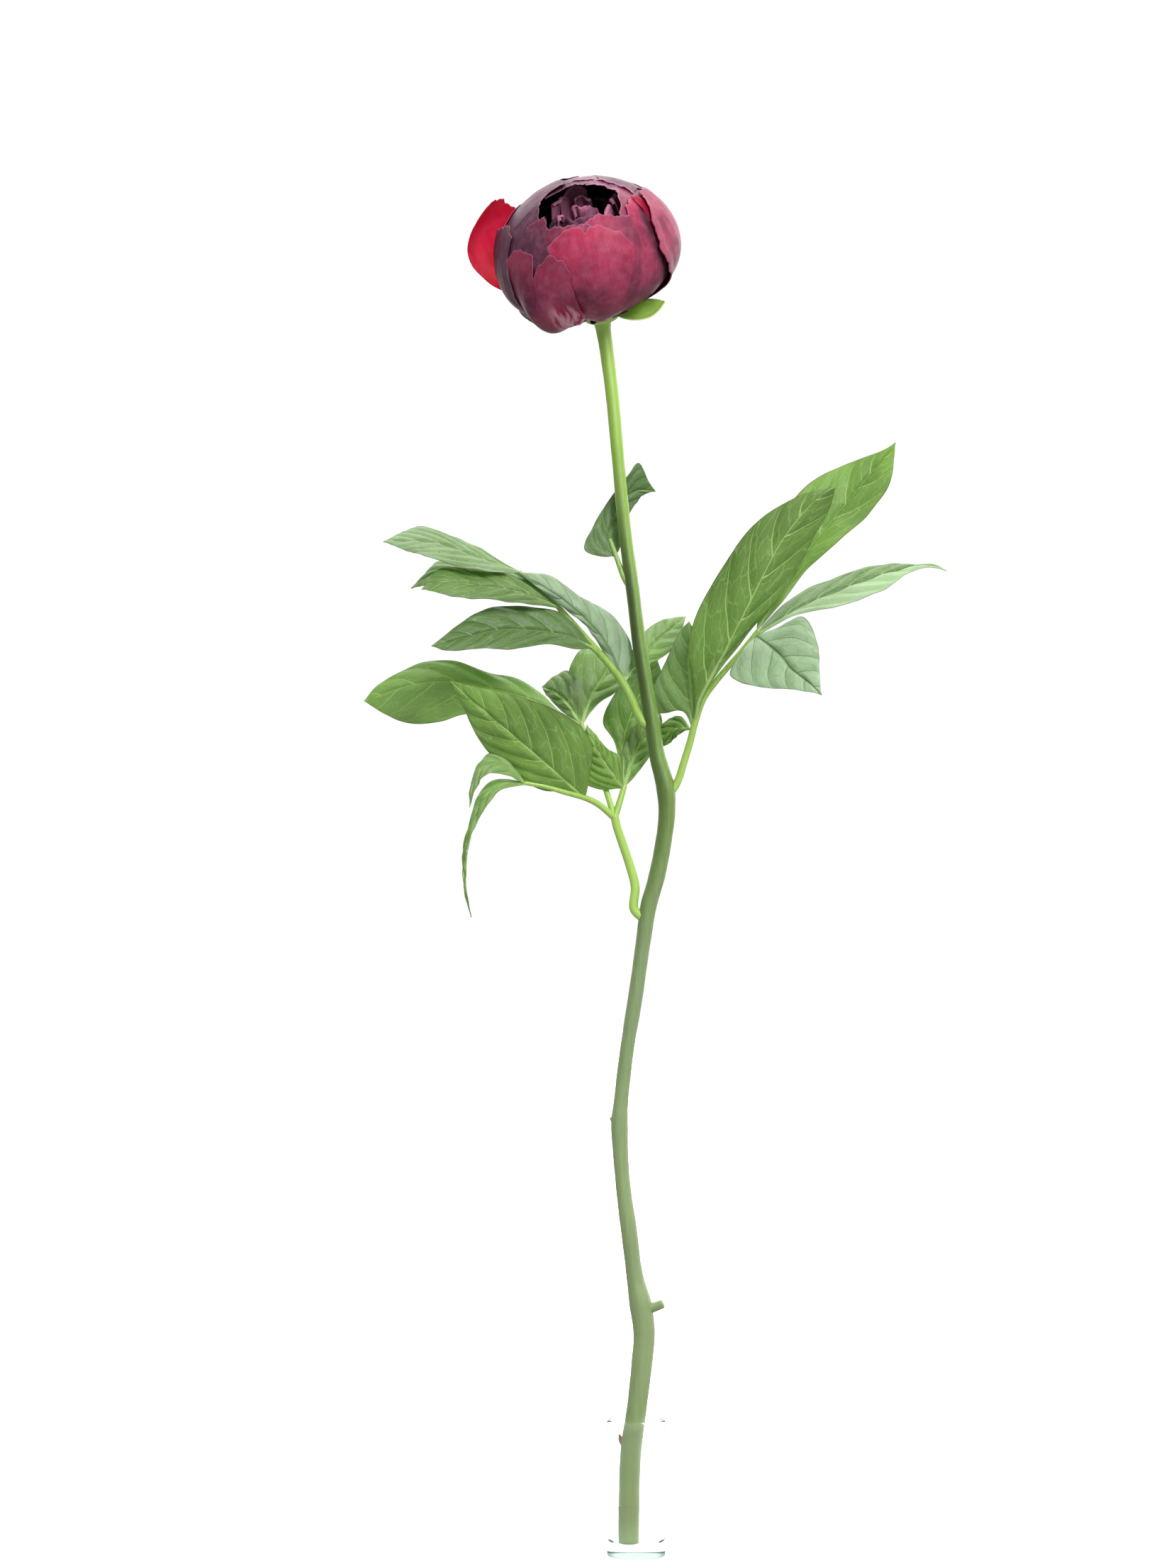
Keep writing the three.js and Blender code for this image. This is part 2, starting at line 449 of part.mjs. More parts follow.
// The bloom's own axes: up through its middle, to the right and to the front
const bloomUp = new THREE.Vector3(
  -Math.sin(radians(BLOOM.leanLeft)),
  -Math.sin(radians(BLOOM.leanFront)) * Math.cos(radians(BLOOM.leanLeft)),
  Math.cos(radians(BLOOM.leanFront)) * Math.cos(radians(BLOOM.leanLeft)),
).normalize();
const bloomRight = new THREE.Vector3(1, 0, 0);
bloomRight.addScaledVector(bloomUp, -bloomRight.dot(bloomUp)).normalize();
const bloomFront = bloomRight.clone().cross(bloomUp);
const bloomCentre = new THREE.Vector3(...BLOOM.centre);

// A point of the bloom from its height above the root, its distance from the axis and the angle round it
function inBloom(height, distance, round) {
  return bloomCentre.clone()
    .addScaledVector(bloomUp, height - BLOOM.below)
    .addScaledVector(bloomRight, distance * Math.cos(radians(round)))
    .addScaledVector(bloomFront, distance * Math.sin(radians(round)));
}

function petalGeometry({ start, end, rim, swell, columns: own }, { thickness, rows, columns, root }) {
  const across = own ?? columns;
  const grid = Array.from({ length: rows + 1 }, (_, i) => {
    const t = i / rows;
    return Array.from({ length: across + 1 }, (_, j) => {
      const s = j / across;
      const rise = radians(root + (ramp(rim, s) - root) * t);
      const round = THREE.MathUtils.lerp(ramp(start, t), ramp(end, t), s);
      const size = ramp(swell, t);
      const half = rise < Math.PI / 2 ? BLOOM.below : BLOOM.above;
      const height = BLOOM.below - size * half * Math.cos(rise);
      return inBloom(height, size * BLOOM.radius * Math.sin(rise), round);
    });
  });
  return sheet(grid, thickness);
}

// A turned piece on the bloom's axis
function inBloomLathe(profile, sides) {
  const geometry = lathe(profile, sides);
  const turned = new THREE.Matrix4().makeBasis(bloomRight, bloomFront.clone().negate(), bloomUp);
  geometry.applyMatrix4(turned.setPosition(inBloom(0, 0, 0)));
  return geometry;
}

function bloomGeometry() {
  return join([
    inBloomLathe(RECEPTACLE.profile, RECEPTACLE.sides),
    ...PETALS.map((petal) => petalGeometry(petal, PETAL)),
    ...INNER_PETALS.map((petal) => petalGeometry(petal, INNER_PETAL)),
  ]);
}

function calyxGeometry() {
  const { radius, low, high, rounding, sides } = CALYX_CUP;
  const cup = inBloomLathe([
    [0, low],
    ...quarter([radius - rounding, low + rounding], rounding, -90, 0, 2),
    [radius, high],
    [0, high],
  ], sides);
  return join([cup, ...SEPALS.map((sepal) => petalGeometry(sepal, SEPAL))]);
}

function piece(name, geometry, color, roughness, extra = {}) {
  const material = new THREE.MeshStandardMaterial({ color, roughness, metalness: 0, ...extra });
  const mesh = new THREE.Mesh(geometry, material);
  mesh.name = name;
  return mesh;
}

const peony = new THREE.Group();
const clear = { transparent: true, opacity: 0.35 };
peony.add(piece("vase", vaseGeometry(), 0xe6f2ec, 0.05, clear));
peony.add(piece("water", waterGeometry(), 0xeef6f4, 0.02, clear));
peony.add(piece("stem", stemGeometry(), 0x7f9a5a, 0.55));
peony.add(piece("leaf_upper_left", leafGeometry(LEAF_UPPER_LEFT), 0x6f9a5c, 0.5));
peony.add(piece("leaf_lower_left", leafGeometry(LEAF_LOWER_LEFT), 0x5f953c, 0.5));
peony.add(piece("leaf_right", leafGeometry(LEAF_RIGHT), 0x568b3a, 0.5));
peony.add(piece("leaf_top", leafGeometry(LEAF_TOP), 0x5c8448, 0.5));
peony.add(piece("calyx", calyxGeometry(), 0x7d9148, 0.55));
peony.add(piece("bloom", bloomGeometry(), 0x7c3450, 0.45));

export default peony;
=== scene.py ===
# Peony in a bud vase: the fine surfaces, materials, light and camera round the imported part.
# Lengths are in millimetres until a mesh is made, and in metres from there on.
import math

import bpy
import numpy as np
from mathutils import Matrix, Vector


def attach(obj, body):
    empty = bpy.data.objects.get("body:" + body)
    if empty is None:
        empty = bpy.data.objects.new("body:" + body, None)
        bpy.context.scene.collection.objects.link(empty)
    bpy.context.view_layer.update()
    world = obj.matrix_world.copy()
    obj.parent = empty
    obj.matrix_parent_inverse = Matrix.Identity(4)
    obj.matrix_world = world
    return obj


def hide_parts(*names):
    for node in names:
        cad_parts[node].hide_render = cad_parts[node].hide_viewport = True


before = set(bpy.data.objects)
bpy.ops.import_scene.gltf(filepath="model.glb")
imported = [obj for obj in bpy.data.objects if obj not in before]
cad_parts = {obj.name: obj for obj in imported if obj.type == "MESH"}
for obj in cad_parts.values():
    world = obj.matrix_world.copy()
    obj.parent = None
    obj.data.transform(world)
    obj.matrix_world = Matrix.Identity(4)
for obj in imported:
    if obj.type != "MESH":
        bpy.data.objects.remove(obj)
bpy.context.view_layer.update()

MM = 0.001
# Height and half width of the floor, in metres, its own glow and its colour in the light it throws up
FLOOR = -0.0004
FLOOR_HALF = 4
FLOOR_GLOW = 0.75
FLOOR_DIM = (0.3, 0.3, 0.3, 1.0)

# The tube and the water in it
VASE = {"radius": 12.4, "height": 57.5, "wall": 1.8, "floor": 4.5, "edge": 0.8, "corner": 4.0}
VASE_SIDES = 144
# Both bend light less than real glass and water. A painted glow in the tube's foot ends between two heights,
# in metres.
GLASS = {"ior": 1.22, "base_glow": 0.045, "absorbed": [(0.5, 0.85, 0.66, 1.0), 22.0]}
GLOW_END = [0.008, 0.018]
GLOW_COLOR = "c8f0d8"
WATER_IOR = 1.06
WATER_TOP = 22.0
WATER_OVERLAP = 0.08
MENISCUS = 0.9

# The bloom is a slightly flattened ball that leans to the left and to the front
BLOOM = {"centre": (-19.5, -12.3, 552.2), "radius": 39.0, "below": 29.0, "above": 32.0,
         "lean_left": 9.0, "lean_front": 27.0}
# Angles from the root at which petals and sepals start, and how thick they are
PETAL_ROOT = 12.0
SEPAL_ROOT = 8.0
PETAL_THICKNESS = 0.4
SEPAL_THICKNESS = 0.6
# Rows and columns of the meshes, sides of the turned ones, and the angle from which an edge stays sharp
PETAL_ROWS = 44
SEPAL_ROWS = 28
HOOD_GRID = [40, 44]
INNER_GRID = [40, 30]
SPOON_GRID = [28, 20]
TURNED_SIDES = 48
SHARP_ANGLE = 50

# The eye that the plant's layout is drawn for, and the photograph's height at the tube's axis
EYE = {"across": -20.4, "up": 326.4, "distance": 1871.0}
VIEW_HEIGHT = 663.6
SENSOR = 36.0

# Brightness of the studio round the object. seen is the white ground, and beside is what glass shows
# at its sides.
WORLD = {"front": 0.5, "back": 2.4, "top": 0.6, "left": 0.3, "right": 0.7, "seen": 1.05, "beside": 0.5}
LAMPS = {"overhead": {"at": (0.1, 0.45, 1.5), "aim": (0, 0, 0.4), "size": (1.0, 1.0), "power": 7.0},
         "window": {"at": (0.5, -1.2, 1.2), "aim": (0, 0, 0.5), "size": (0.5, 0.6), "power": 25.0}}

# Colours as hex digits. Leaves: lit, dark, seen through, veins, veins seen through
LEAF_LOOKS = {"leaf_upper": {"colors": "8ab052 46662f 8ab834 b4d088 aed050", "under": False},
              "leaf_under": {"colors": "8cac6c 68885a 7cac30 b4d090 aed050", "under": True}}
# Leaf tones: the margin, between the veins, waxy bloom with painted sheen, and painted shade in furrows.
LEAF_TONES = {"margin": "6a4048", "between": "86a860", "wax_and_sheen": "a8bea0", "furrow_shade": "7c9c6c"}
# Petals: lit, deep, soft grey, red and seen through. through is the share of light let through.
PETAL_LOOKS = {
    "petal_outer": {"colors": "963450 561832 3e2636 ae2446 9a0a30", "through": 0.12, "gloss": 0.1},
    # petal_inner has darker lit, deep, red and seen-through colours: painted shade inside the bloom and over
    # its top.
    "petal_inner": {"colors": "3a1a2e 281626 c07494 5a1c30 300818", "through": 0.05, "gloss": 0.06},
    "petal_lit": {"colors": "bc0a4c 880634 b41048 c01048 ec005c", "through": 0.6, "gloss": 0.12},
}
# Of these tones, rim is a painted sheen along the rim and edge_shadow a painted shadow.
PETAL_TONES = {"edge_shadow": "240818", "streak": "b87a92", "mottle": "c08098", "pink": "c81c54",
               "white": "f4d0e0", "white_lit": "f8c8dc", "rim": "a87890"}
SEPAL_TONES = {"light": "a0c05a", "cloud": "84a446", "vein": "a8c068", "margin": "ccd896", "dark": "4a4f26",
               "tip": "8a4a3c", "through": "9cc840", "dark_through": "3a4418"}
# Of the stem tones, the whitish streaks are waxy bloom with painted sheen, and the dark band is painted
# shade.
STEM_TONES = {"cloud": "39502a", "speck": "4a3a26", "wax_sheen_streaks": "e4eadb", "painted_shade_band": "26340c", "tint": "8c5040"}
# Greens up the plant, each at its share of TALL, in metres. pale is the colour of the streaks, and speck
# and shade are the strengths of the dark specks and of the painted shade, a dark band on the front left.
TALL = 0.6
STALK = {"stops": [(0.4, "9cc058"), (0.55, "90b44c"), (0.62, "7c9e3e"), (0.75, "7c9c48")],
         "pale": "b4d080", "speck": 0.5, "shade": 0.1}
STEM_LOOK = {
    "stops": [(0.0, "8c9e5c"), (0.06, "74884a"), (0.09, "728652"), (0.14, "7a8c5e"), (0.3, "788c5e"),
              (0.42, "70845a"), (0.5, "5e7838"), (0.56, "5e8030"), (0.61, "5a7c2c"), (0.68, "628430"),
              (0.74, "7a9e3a"), (0.8, "84aa3a"), (0.88, "8cb044")],
    "pale": "94aa70", "speck": 0.35, "shade": 0.85,
}

# Stem: [across, up, depth, radius] from the cut end to the flare under the bloom
STEM = [
    [-3.1, 5.3, -3.3, 4.25], [-3.0, 22, -3.3, 4.3], [-2.8, 34, -3.2, 4.45], [-2.1, 46, -3.0, 4.4],
    [-0.4, 58, -2.8, 4.3], [1.1, 70, -2.4, 4.3], [2.4, 82, -2.0, 4.4], [3.3, 94, -1.6, 4.6],
    [1.8, 106, -1.2, 4.7], [-0.6, 118, -0.8, 3.6], [-3.3, 139, -0.2, 3.4], [-5.3, 154, 0.2, 3.2],
    [-6.6, 169, 0.6, 3.2], [-7.1, 184, 0.9, 3.6], [-6.5, 192, 1.0, 3.1], [-4.1, 213, 1.4, 3.0],
    [-0.3, 237, 1.8, 3.1], [3.1, 261, 2.2, 3.15], [5.2, 275, 2.5, 3.5], [8.3, 286, 2.7, 3.5],
    [11.0, 299, 3.0, 3.45], [12.9, 314, 3.0, 3.6], [12.3, 325, 3.0, 3.9], [8.7, 339, 3.0, 3.4],
    [6.4, 354, 3.0, 3.3], [1.5, 384, 2.8, 3.0], [-1.6, 409, 2.8, 2.85], [-4.8, 433, 3.0, 2.75],
    [-7.9, 466, 3.6, 2.65], [-10.1, 490, 4.5, 2.8], [-12.6, 510, 5.6, 2.95], [-13.9, 518.5, 5.5, 3.3],
    [-14.4, 522.8, 3.7, 4.0],
]
# How uneven the stem is, as a share of its radius
STEM_RIPPLE = 0.012
# Steps along and sides round the rods, and how far a rod's rounded end stands out, as a share of its radius
STEM_STEPS = 420
STEM_SIDES = 40
GROWTH_STEPS = 14
GROWTH_SIDES = 18
STALK_STEPS = 8
STALK_SIDES = 16
ROD_END = 0.25
# What grows on the stem: a cut leaf stub, a side bud and two small scars. tint 1 is red-brown.
STEM_GROWTHS = [
    {"path": [[3, 104, -1.2], [8, 105.2, -2], [11.2, 106.4, -2.6]], "radii": [3, 2.2, 1.9]},
    {"path": [[13.4, 324.5, 2.2], [14.9, 327.2, 1.6], [15.3, 328.8, 1.4]], "radii": [1.4, 1.0, 0.35],
     "tint": 1.0},
    {"path": [[-8, 183, 0.5], [-10.6, 185.4, 0.2]], "radii": [2.4, 1]},
    {"path": [[-4.2, 46.2, -3], [-6.4, 48.8, -3.4], [-7.0, 51, -3.4]], "radii": [1.9, 1.3, 0.5],
     "tint": 0.8},
]

# Leaves. A stalk is a path with its radius at both ends. A leaflet has the rib from its base to its
# tip, both edges between them, and how far each edge turns back for each millimetre of its width.
# look is how light it is and how waxy, the wax carrying painted sheen, high_look the same for its high
# half, and veins the number of side veins in each half. join leads a stalk into the stem.
LEAF = {"thickness": 0.34, "rows": 84, "columns": 44, "base": 0.7, "tip": 0.25, "wave": 1.1, "waves": 2.6,
        "flutter": 0.25, "veins": 6, "vein_bend": 1.35, "vein_hook": 0.6, "quilt": 1.35, "groove": 0.5,
        "groove_width": 0.8, "rib": 0.5, "rib_width": 0.7, "rib_end": 0.1, "margin": 0.45}
LEAF_UPPER_LEFT = {
    "join": [[6.6, 350.4, 3.2]],
    "stalks": [
        {"path": [[3.2, 352.2, 2.8], [0.3, 356.8, 2.4], [-3, 364.3, 1.8], [-7.5, 372, 1.5],
         [-17.3, 383.7, -1], [-28, 395.7, -3.5], [-40.4, 409.2, -5.5], [-49.5, 416, -6.5]],
         "radii": [1.9, 1]},
        {"path": [[-27, 394.5, -3.3], [-32.3, 401, -4.5]], "radii": [1.3, 0.9]},
        {"path": [[-15.5, 381.8, -0.6], [-18.3, 383.7, -2.6], [-21.4, 385.4, -5]], "radii": [1.3, 0.6]},
    ],
    "leaflets": [
        {"look": [-0.3, 0.3], "turn": [-2.4, 2.4], "rib": [[-48, 415.6, -6.5], [-65, 421, -8],
         [-85, 428, -6], [-107, 429, -2]], "low": [[-62.9, 416], [-84.2, 421], [-97, 425.1]],
         "high": [[-57.2, 420.3], [-65.9, 426], [-78.5, 431.4], [-92.9, 435]]},
        {"look": [-0.3, 0.1], "turn": [-1.2, 1.2], "rib": [[-31, 400.4, -4.5], [-50, 407.5, -14],
         [-68, 410.5, -20], [-82, 412, -23], [-90.8, 408.9, -24]], "low": [[-42.5, 402], [-60.2, 404.1],
         [-73.1, 405]], "high": [[-40.4, 409.5], [-51.8, 414.6], [-68.6, 416.4], [-82.7, 417.6]]},
        {"look": [0.2, 0.4], "turn": [-1.5, 1.5], "rib": [[-41, 410, -5], [-56, 414, 8], [-70, 416.5, 14],
         [-84, 416, 18], [-95.3, 409.2, 20]], "low": [[-56, 411], [-70, 412.5], [-84, 411.5]],
         "high": [[-55, 417.5], [-70, 420.5], [-83, 420.8]]},
        {"look": [-0.7, 0.1], "turn": [-0.9, 0.7], "rib": [[-18.6, 384.0, -3.4], [-28, 388.5, -8],
         [-41, 391, -13], [-58, 391.5, -20], [-74, 388, -27], [-86.6, 384.9, -31]], "low": [[-24, 383.4],
         [-37.7, 385.3], [-53.3, 383.4], [-66.2, 383.5], [-80, 382.8]], "high": [[-21.5, 388.5],
         [-26.5, 395.3], [-34.7, 399.6], [-46.1, 401.4], [-58.7, 401.4], [-68.6, 398.1], [-75.8, 393.3]]},
        {"look": [0.2, 1.2], "turn": [0.5, 0.8], "rib": [[-5.6, 370.6, 1.8], [-8.6, 377.5, 0.5],
         [-13.1, 386.4, -2], [-21.5, 396.3, -6], [-34.5, 407, -10], [-50, 415.9, -11]],
         "low": [[-9.5, 375.5], [-17.3, 387.6], [-23.6, 395.4], [-36, 405]], "high": [[-1.9, 380.7],
         [-3.4, 388.5], [-11, 398.1], [-23.6, 405.5], [-36, 414.2]]},
        {"look": [0.2, 0.2], "turn": [0.4, -0.2], "rib": [[-5.2, 369.8, 2.2], [-2.0, 374, 9], [5, 383, 14],
         [13, 391, 24], [20.9, 397.2, 34]], "low": [[-3, 380], [2.9, 390], [9.8, 395.1], [17, 397]],
         "high": [[5.3, 376.8], [9.8, 379.2], [15.2, 383.4], [18.5, 389]]},
    ],
}
LEAF_LOWER_LEFT = {
    "join": [[3.4, 269.2, 2.3]],
    "stalks": [
        {"path": [[-0.9, 273.5, 2], [-0.5, 283, 1.4], [-2.9, 292.5, 0.8], [-5.6, 300.6, 0.4],
         [-8.3, 308.7, 0], [-9.2, 313, 0]], "radii": [2, 1.8]},
        {"path": [[-9, 312, 0], [-15.8, 317.7, -3], [-21.2, 320.4, -5], [-30.8, 323.1, -9],
         [-39, 325.5, -11], [-47, 326.8, -12]], "radii": [1.5, 0.9]},
        {"path": [[-9.2, 312, 0], [-12.5, 323, 4], [-18, 338, 10], [-23.5, 352.5, 14]], "radii": [1.4, 1]},
        {"path": [[-9.2, 312, 0], [-7, 319, 1.5], [-5, 325.8, 3]], "radii": [1.5, 1.2]},
    ],
    "leaflets": [
        {"look": [0.4, 0.0], "turn": [0.5, -0.2], "rib": [[-21.5, 320.6, -5], [-29.6, 327.6, -11],
         [-36.2, 333.3, -15], [-51.2, 346.2, -21], [-61.1, 354.6, -24], [-78.5, 369.9, -26]],
         "low": [[-31.7, 323.4], [-39.8, 324], [-51.5, 330.6], [-64.4, 342.3], [-72.8, 357.9]],
         "high": [[-20, 328], [-18.5, 342.3], [-22.1, 349.5], [-29, 354.9], [-40.4, 360.6], [-54.5, 364.8],
         [-68.6, 367.8]]},
        {"look": [1.0, 0.15], "turn": [0.2, 0.6], "rib": [[-22.8, 351, 13.5], [-40.4, 360.6, 11],
         [-60, 366.5, 7], [-78, 369.6, 5], [-96, 368, 7], [-115.1, 361.5, 14]], "low": [[-40, 357],
         [-58, 357.5], [-73.7, 355.8], [-82.7, 352.8], [-97, 352.2], [-107, 356.4]],
         "high": [[-33.2, 357.9], [-40.4, 364.8], [-51.8, 371.4], [-62.9, 373.5], [-77.3, 378.3],
         [-91.4, 377.4], [-109.7, 367.8]]},
        {"look": [0.5, 0.15], "veins": 8, "turn": [-1.2, 1.0], "rib": [[-45, 326.6, -12], [-56, 326, -14],
         [-63, 321.5, -17], [-67.5, 313.5, -19], [-70.5, 304, -21], [-72.3, 293, -22], [-72.3, 281, -21],
         [-69.8, 270, -19]], "low": [[-57.4, 323.3], [-63.9, 315.8], [-67.7, 309.3], [-70.5, 302.7],
         [-71.8, 295.2], [-72, 283]], "high": [[-55.5, 328.4], [-62, 327], [-66.8, 321.5], [-69.6, 314],
         [-71.4, 306.5], [-73, 297], [-72.9, 283]]},
        {"look": [0.5, 0.3], "veins": 5, "turn": [-0.6, 0.8], "rib": [[-47, 326.4, -12.6],
         [-55, 333.5, -16], [-62.5, 334.5, -19], [-68, 327, -21], [-70.6, 316.5, -22]], "low": [[-55, 330],
         [-63, 330.6], [-67.4, 325.2]], "high": [[-54, 337], [-62, 339.3], [-67.4, 333.6], [-70.2, 325]]},
        {"look": [0.8, 0.0], "turn": [0.4, 0.5], "rib": [[-5.6, 324.4, 2.6], [-8.3, 328.8, -1],
         [-12.8, 334.8, -4], [-17.3, 343.2, -8], [-20.9, 351.3, -11]], "low": [[-8, 324.6], [-13.7, 324],
         [-20.5, 326], [-22.5, 334], [-22.5, 343]], "high": [[-5.7, 328.5], [-6.7, 337.5], [-12.2, 341.4],
         [-16.7, 346.5]]},
        {"turn": [0.3, 0.2], "rib": [[-5, 325, 3.2], [-2.5, 334, 10], [1, 343, 17], [6, 352, 24],
         [9.5, 358, 30]], "low": [[-6.5, 333.6], [-6.5, 337.5], [-5.3, 343.2], [-2.6, 348.6], [3, 354]],
         "high": [[-0.5, 329.7], [5.3, 337.5], [10, 346], [11, 353]]},
        {"veins": 4, "turn": [0.3, 0.5], "rib": [[-23.5, 351.5, 14], [-28.5, 360, 25], [-34, 365, 35],
         [-39.8, 367.4, 46]], "low": [[-27, 353.4], [-33.5, 359.4], [-38.2, 364.4]], "high": [[-21, 361],
         [-24, 369], [-29.3, 374.2], [-35.2, 371.6]]},
        {"veins": 4, "turn": [0.5, 0.3], "rib": [[-23, 351.5, 14], [-19.1, 363.9, 26], [-13.7, 372.3, 38],
         [-10, 382, 52]], "low": [[-26, 360], [-28.7, 372.6], [-23, 383.1]], "high": [[-16.1, 360.3],
         [-7.1, 366.9], [-6.5, 374]]},
        {"veins": 5, "turn": [0.4, 0.2], "rib": [[-5.2, 325.4, 3.2], [-5.5, 343, 17], [-2, 356, 27],
         [3, 368, 36], [9, 379, 43]], "low": [[-9.2, 343.5], [-14, 352.5], [-10.4, 362.4], [-2, 373]],
         "high": [[-2, 338], [4, 347], [8.5, 358], [11.5, 369]]},
    ],
}
LEAF_RIGHT = {
    "join": [[11.9, 318.5, 3.0], [14.3, 322.4, 3.0]],
    "stalks": [
        {"path": [[16.6, 325.7, 3], [18.3, 329.6, 2.9], [19.9, 334.8, 2.5], [22.9, 344.7, 2],
         [24.8, 352.2, 1.5], [28.4, 362.4, 1], [33.5, 369.6, 0.8], [44.3, 382.2, 0.5], [51.8, 391.5, 0.5]],
         "radii": [1.7, 1.1]},
    ],
    "leaflets": [
        {"turn": [0.25, 0.9], "rib": [[24.4, 351, 1.5], [27.8, 364.2, -4],
         [38.3, 384, -9], [48.2, 403.5, -13], [62.9, 431.1, -16], [77.6, 448.2, -17], [84.2, 452.4, -17]],
         "low": [[24.2, 369.6], [22.5, 385.5], [26, 399.3], [37.1, 418.8], [48.2, 434.4], [60.5, 444],
         [73, 449.8]], "high": [[29.4, 365.6], [34.6, 373.8], [41, 382.5], [61.7, 407.4], [72.2, 425.7],
         [81.2, 441.6], [83.6, 448.8]]},
        {"look": [0.6, 0.0], "turn": [0.3, -0.7], "rib": [[50.6, 390.3, 0.5], [61.7, 407.4, 6],
         [72.2, 424.5, 9], [87.5, 443.4, 12], [103.4, 462.9, 12], [109.7, 470.9, 11]], "low": [[53, 405],
         [55, 420], [60, 436], [72.2, 452.7], [86, 460.5], [105.2, 468]], "high": [[61.7, 403],
         [72.8, 417.6], [84.8, 428.1], [98.3, 440.4], [107.6, 454.5], [109.2, 464]]},
        {"look": [-0.5, 0.1], "high_look": [0.6, 0.95], "turn": [1.8, -1.8], "rib": [[50, 388.8, 0.5],
         [69.5, 400.5, 6], [87.2, 408.3, 12], [104.9, 414.9, 17], [119.3, 418.5, 20], [125.3, 418.8, 21],
         [131.3, 416.7, 22]], "low": [[55.4, 395.4], [68.3, 406.5], [86, 414.3], [104.9, 419.1],
         [119, 419.3], [126, 419.2]], "high": [[68.3, 397.8], [83.6, 401.1], [103.7, 407.7], [117, 416.5],
         [125, 418]]},
        {"look": [0.3, 1.5], "veins": 4, "turn": [0.1, 0.5], "rib": [[50.5, 389.2, 0.3], [60.5, 381.6, -14],
         [65.9, 375, -25], [73.1, 369.3, -37], [78.3, 364.2, -46]], "low": [[42, 378.5], [39.8, 372.3],
         [47.6, 368.1], [65.3, 366.4], [73.1, 365.2]], "high": [[58, 391.6], [70.7, 396.9], [76.7, 385.8],
         [77.6, 375]]},
        {"look": [0.1, 0.3], "veins": 4, "turn": [0.45, 0.3], "rib": [[24, 349.5, 1.7], [23, 365.7, 5],
         [22.1, 378, 7], [22.7, 389, 8], [22.4, 395.1, 8]], "low": [[19.7, 357], [9.2, 356.7], [7.7, 366.9],
         [10.7, 374.1], [14.6, 383.1], [19, 391.5]], "high": [[26, 362], [27, 375], [26, 388]]},
        {"veins": 3.5, "turn": [0.3, 0.3], "rib": [[23, 349.6, 2.2], [18, 350.5, 8], [13, 347.5, 12.5],
         [9, 344, 16]], "low": [[20.5, 348.8], [16.4, 345.8], [12, 342.5]], "high": [[19, 355], [14, 354],
         [9.5, 349.5]]},
    ],
}
LEAF_TOP = {
    "join": [[-2.8, 409.5, 2.8]],
    "stalks": [
        {"path": [[-5.4, 414.2, 2.8], [-6.8, 418, 3.6], [-8.6, 422.9, 4.8], [-11.2, 429.9, 7]],
         "radii": [1.3, 0.9]},
    ],
    "leaflets": [
        {"look": [-1.0, 0.15], "veins": 4.5, "turn": [-0.3, 0.5], "rib": [[-9.3, 423, 5.4],
         [-11.3, 430, 7.2], [-10, 438, 9.7], [-6, 446, 11.7], [0, 450.5, 13.2], [8.2, 450.3, 15.2]],
         "low": [[-13.7, 422.5], [-22, 425.5], [-17.6, 436.8], [-11, 447.3], [-3.8, 457.2], [1, 462.3],
         [5.5, 454]], "high": [[-7.5, 425], [-5.5, 432], [-2.3, 442], [1.6, 447.6], [5, 449.6]]},
    ],
}

LEAVES = {"leaf_upper_left": LEAF_UPPER_LEFT, "leaf_lower_left": LEAF_LOWER_LEFT, "leaf_right": LEAF_RIGHT,
          "leaf_top": LEAF_TOP}

# Petals and sepals lie on the bloom's ball. start and end are the two side edges, as angles round its
# axis from the right over the front, from the root to the rim. rim is the height of the rim across the
# petal, as an angle from the root. swell scales the ball from the root to the rim. slits are notches in
# the rim: [share across, depth as an angle, width as a share]. bulge and keel push the middle out, lift
# the end edge, and ragged tears it. grey, red, pale and dark are shares of those tones, lit marks the
# petals that light shines through, shut those that let little through, and shadow the edge of a
# petal that darkens this one beside it. PETAL has what all of them share: the sideways wander and tatter of
# the edges in degrees, the lifts, bulge and crease as shares of the ball's size, and the shares of a
# petal between which red sets in toward the rim, and pale ends upward and across.
PETAL = {"wander": 0.9, "tatter": 0.9, "edge_lift": 0.012, "rim_lift": 0.008, "bulge": 0.02,
         "crease": 0.002, "red_from": [0.55, 0.95], "pale_up": [0.46, 0.64], "pale_across": [0.2, 0.42]}
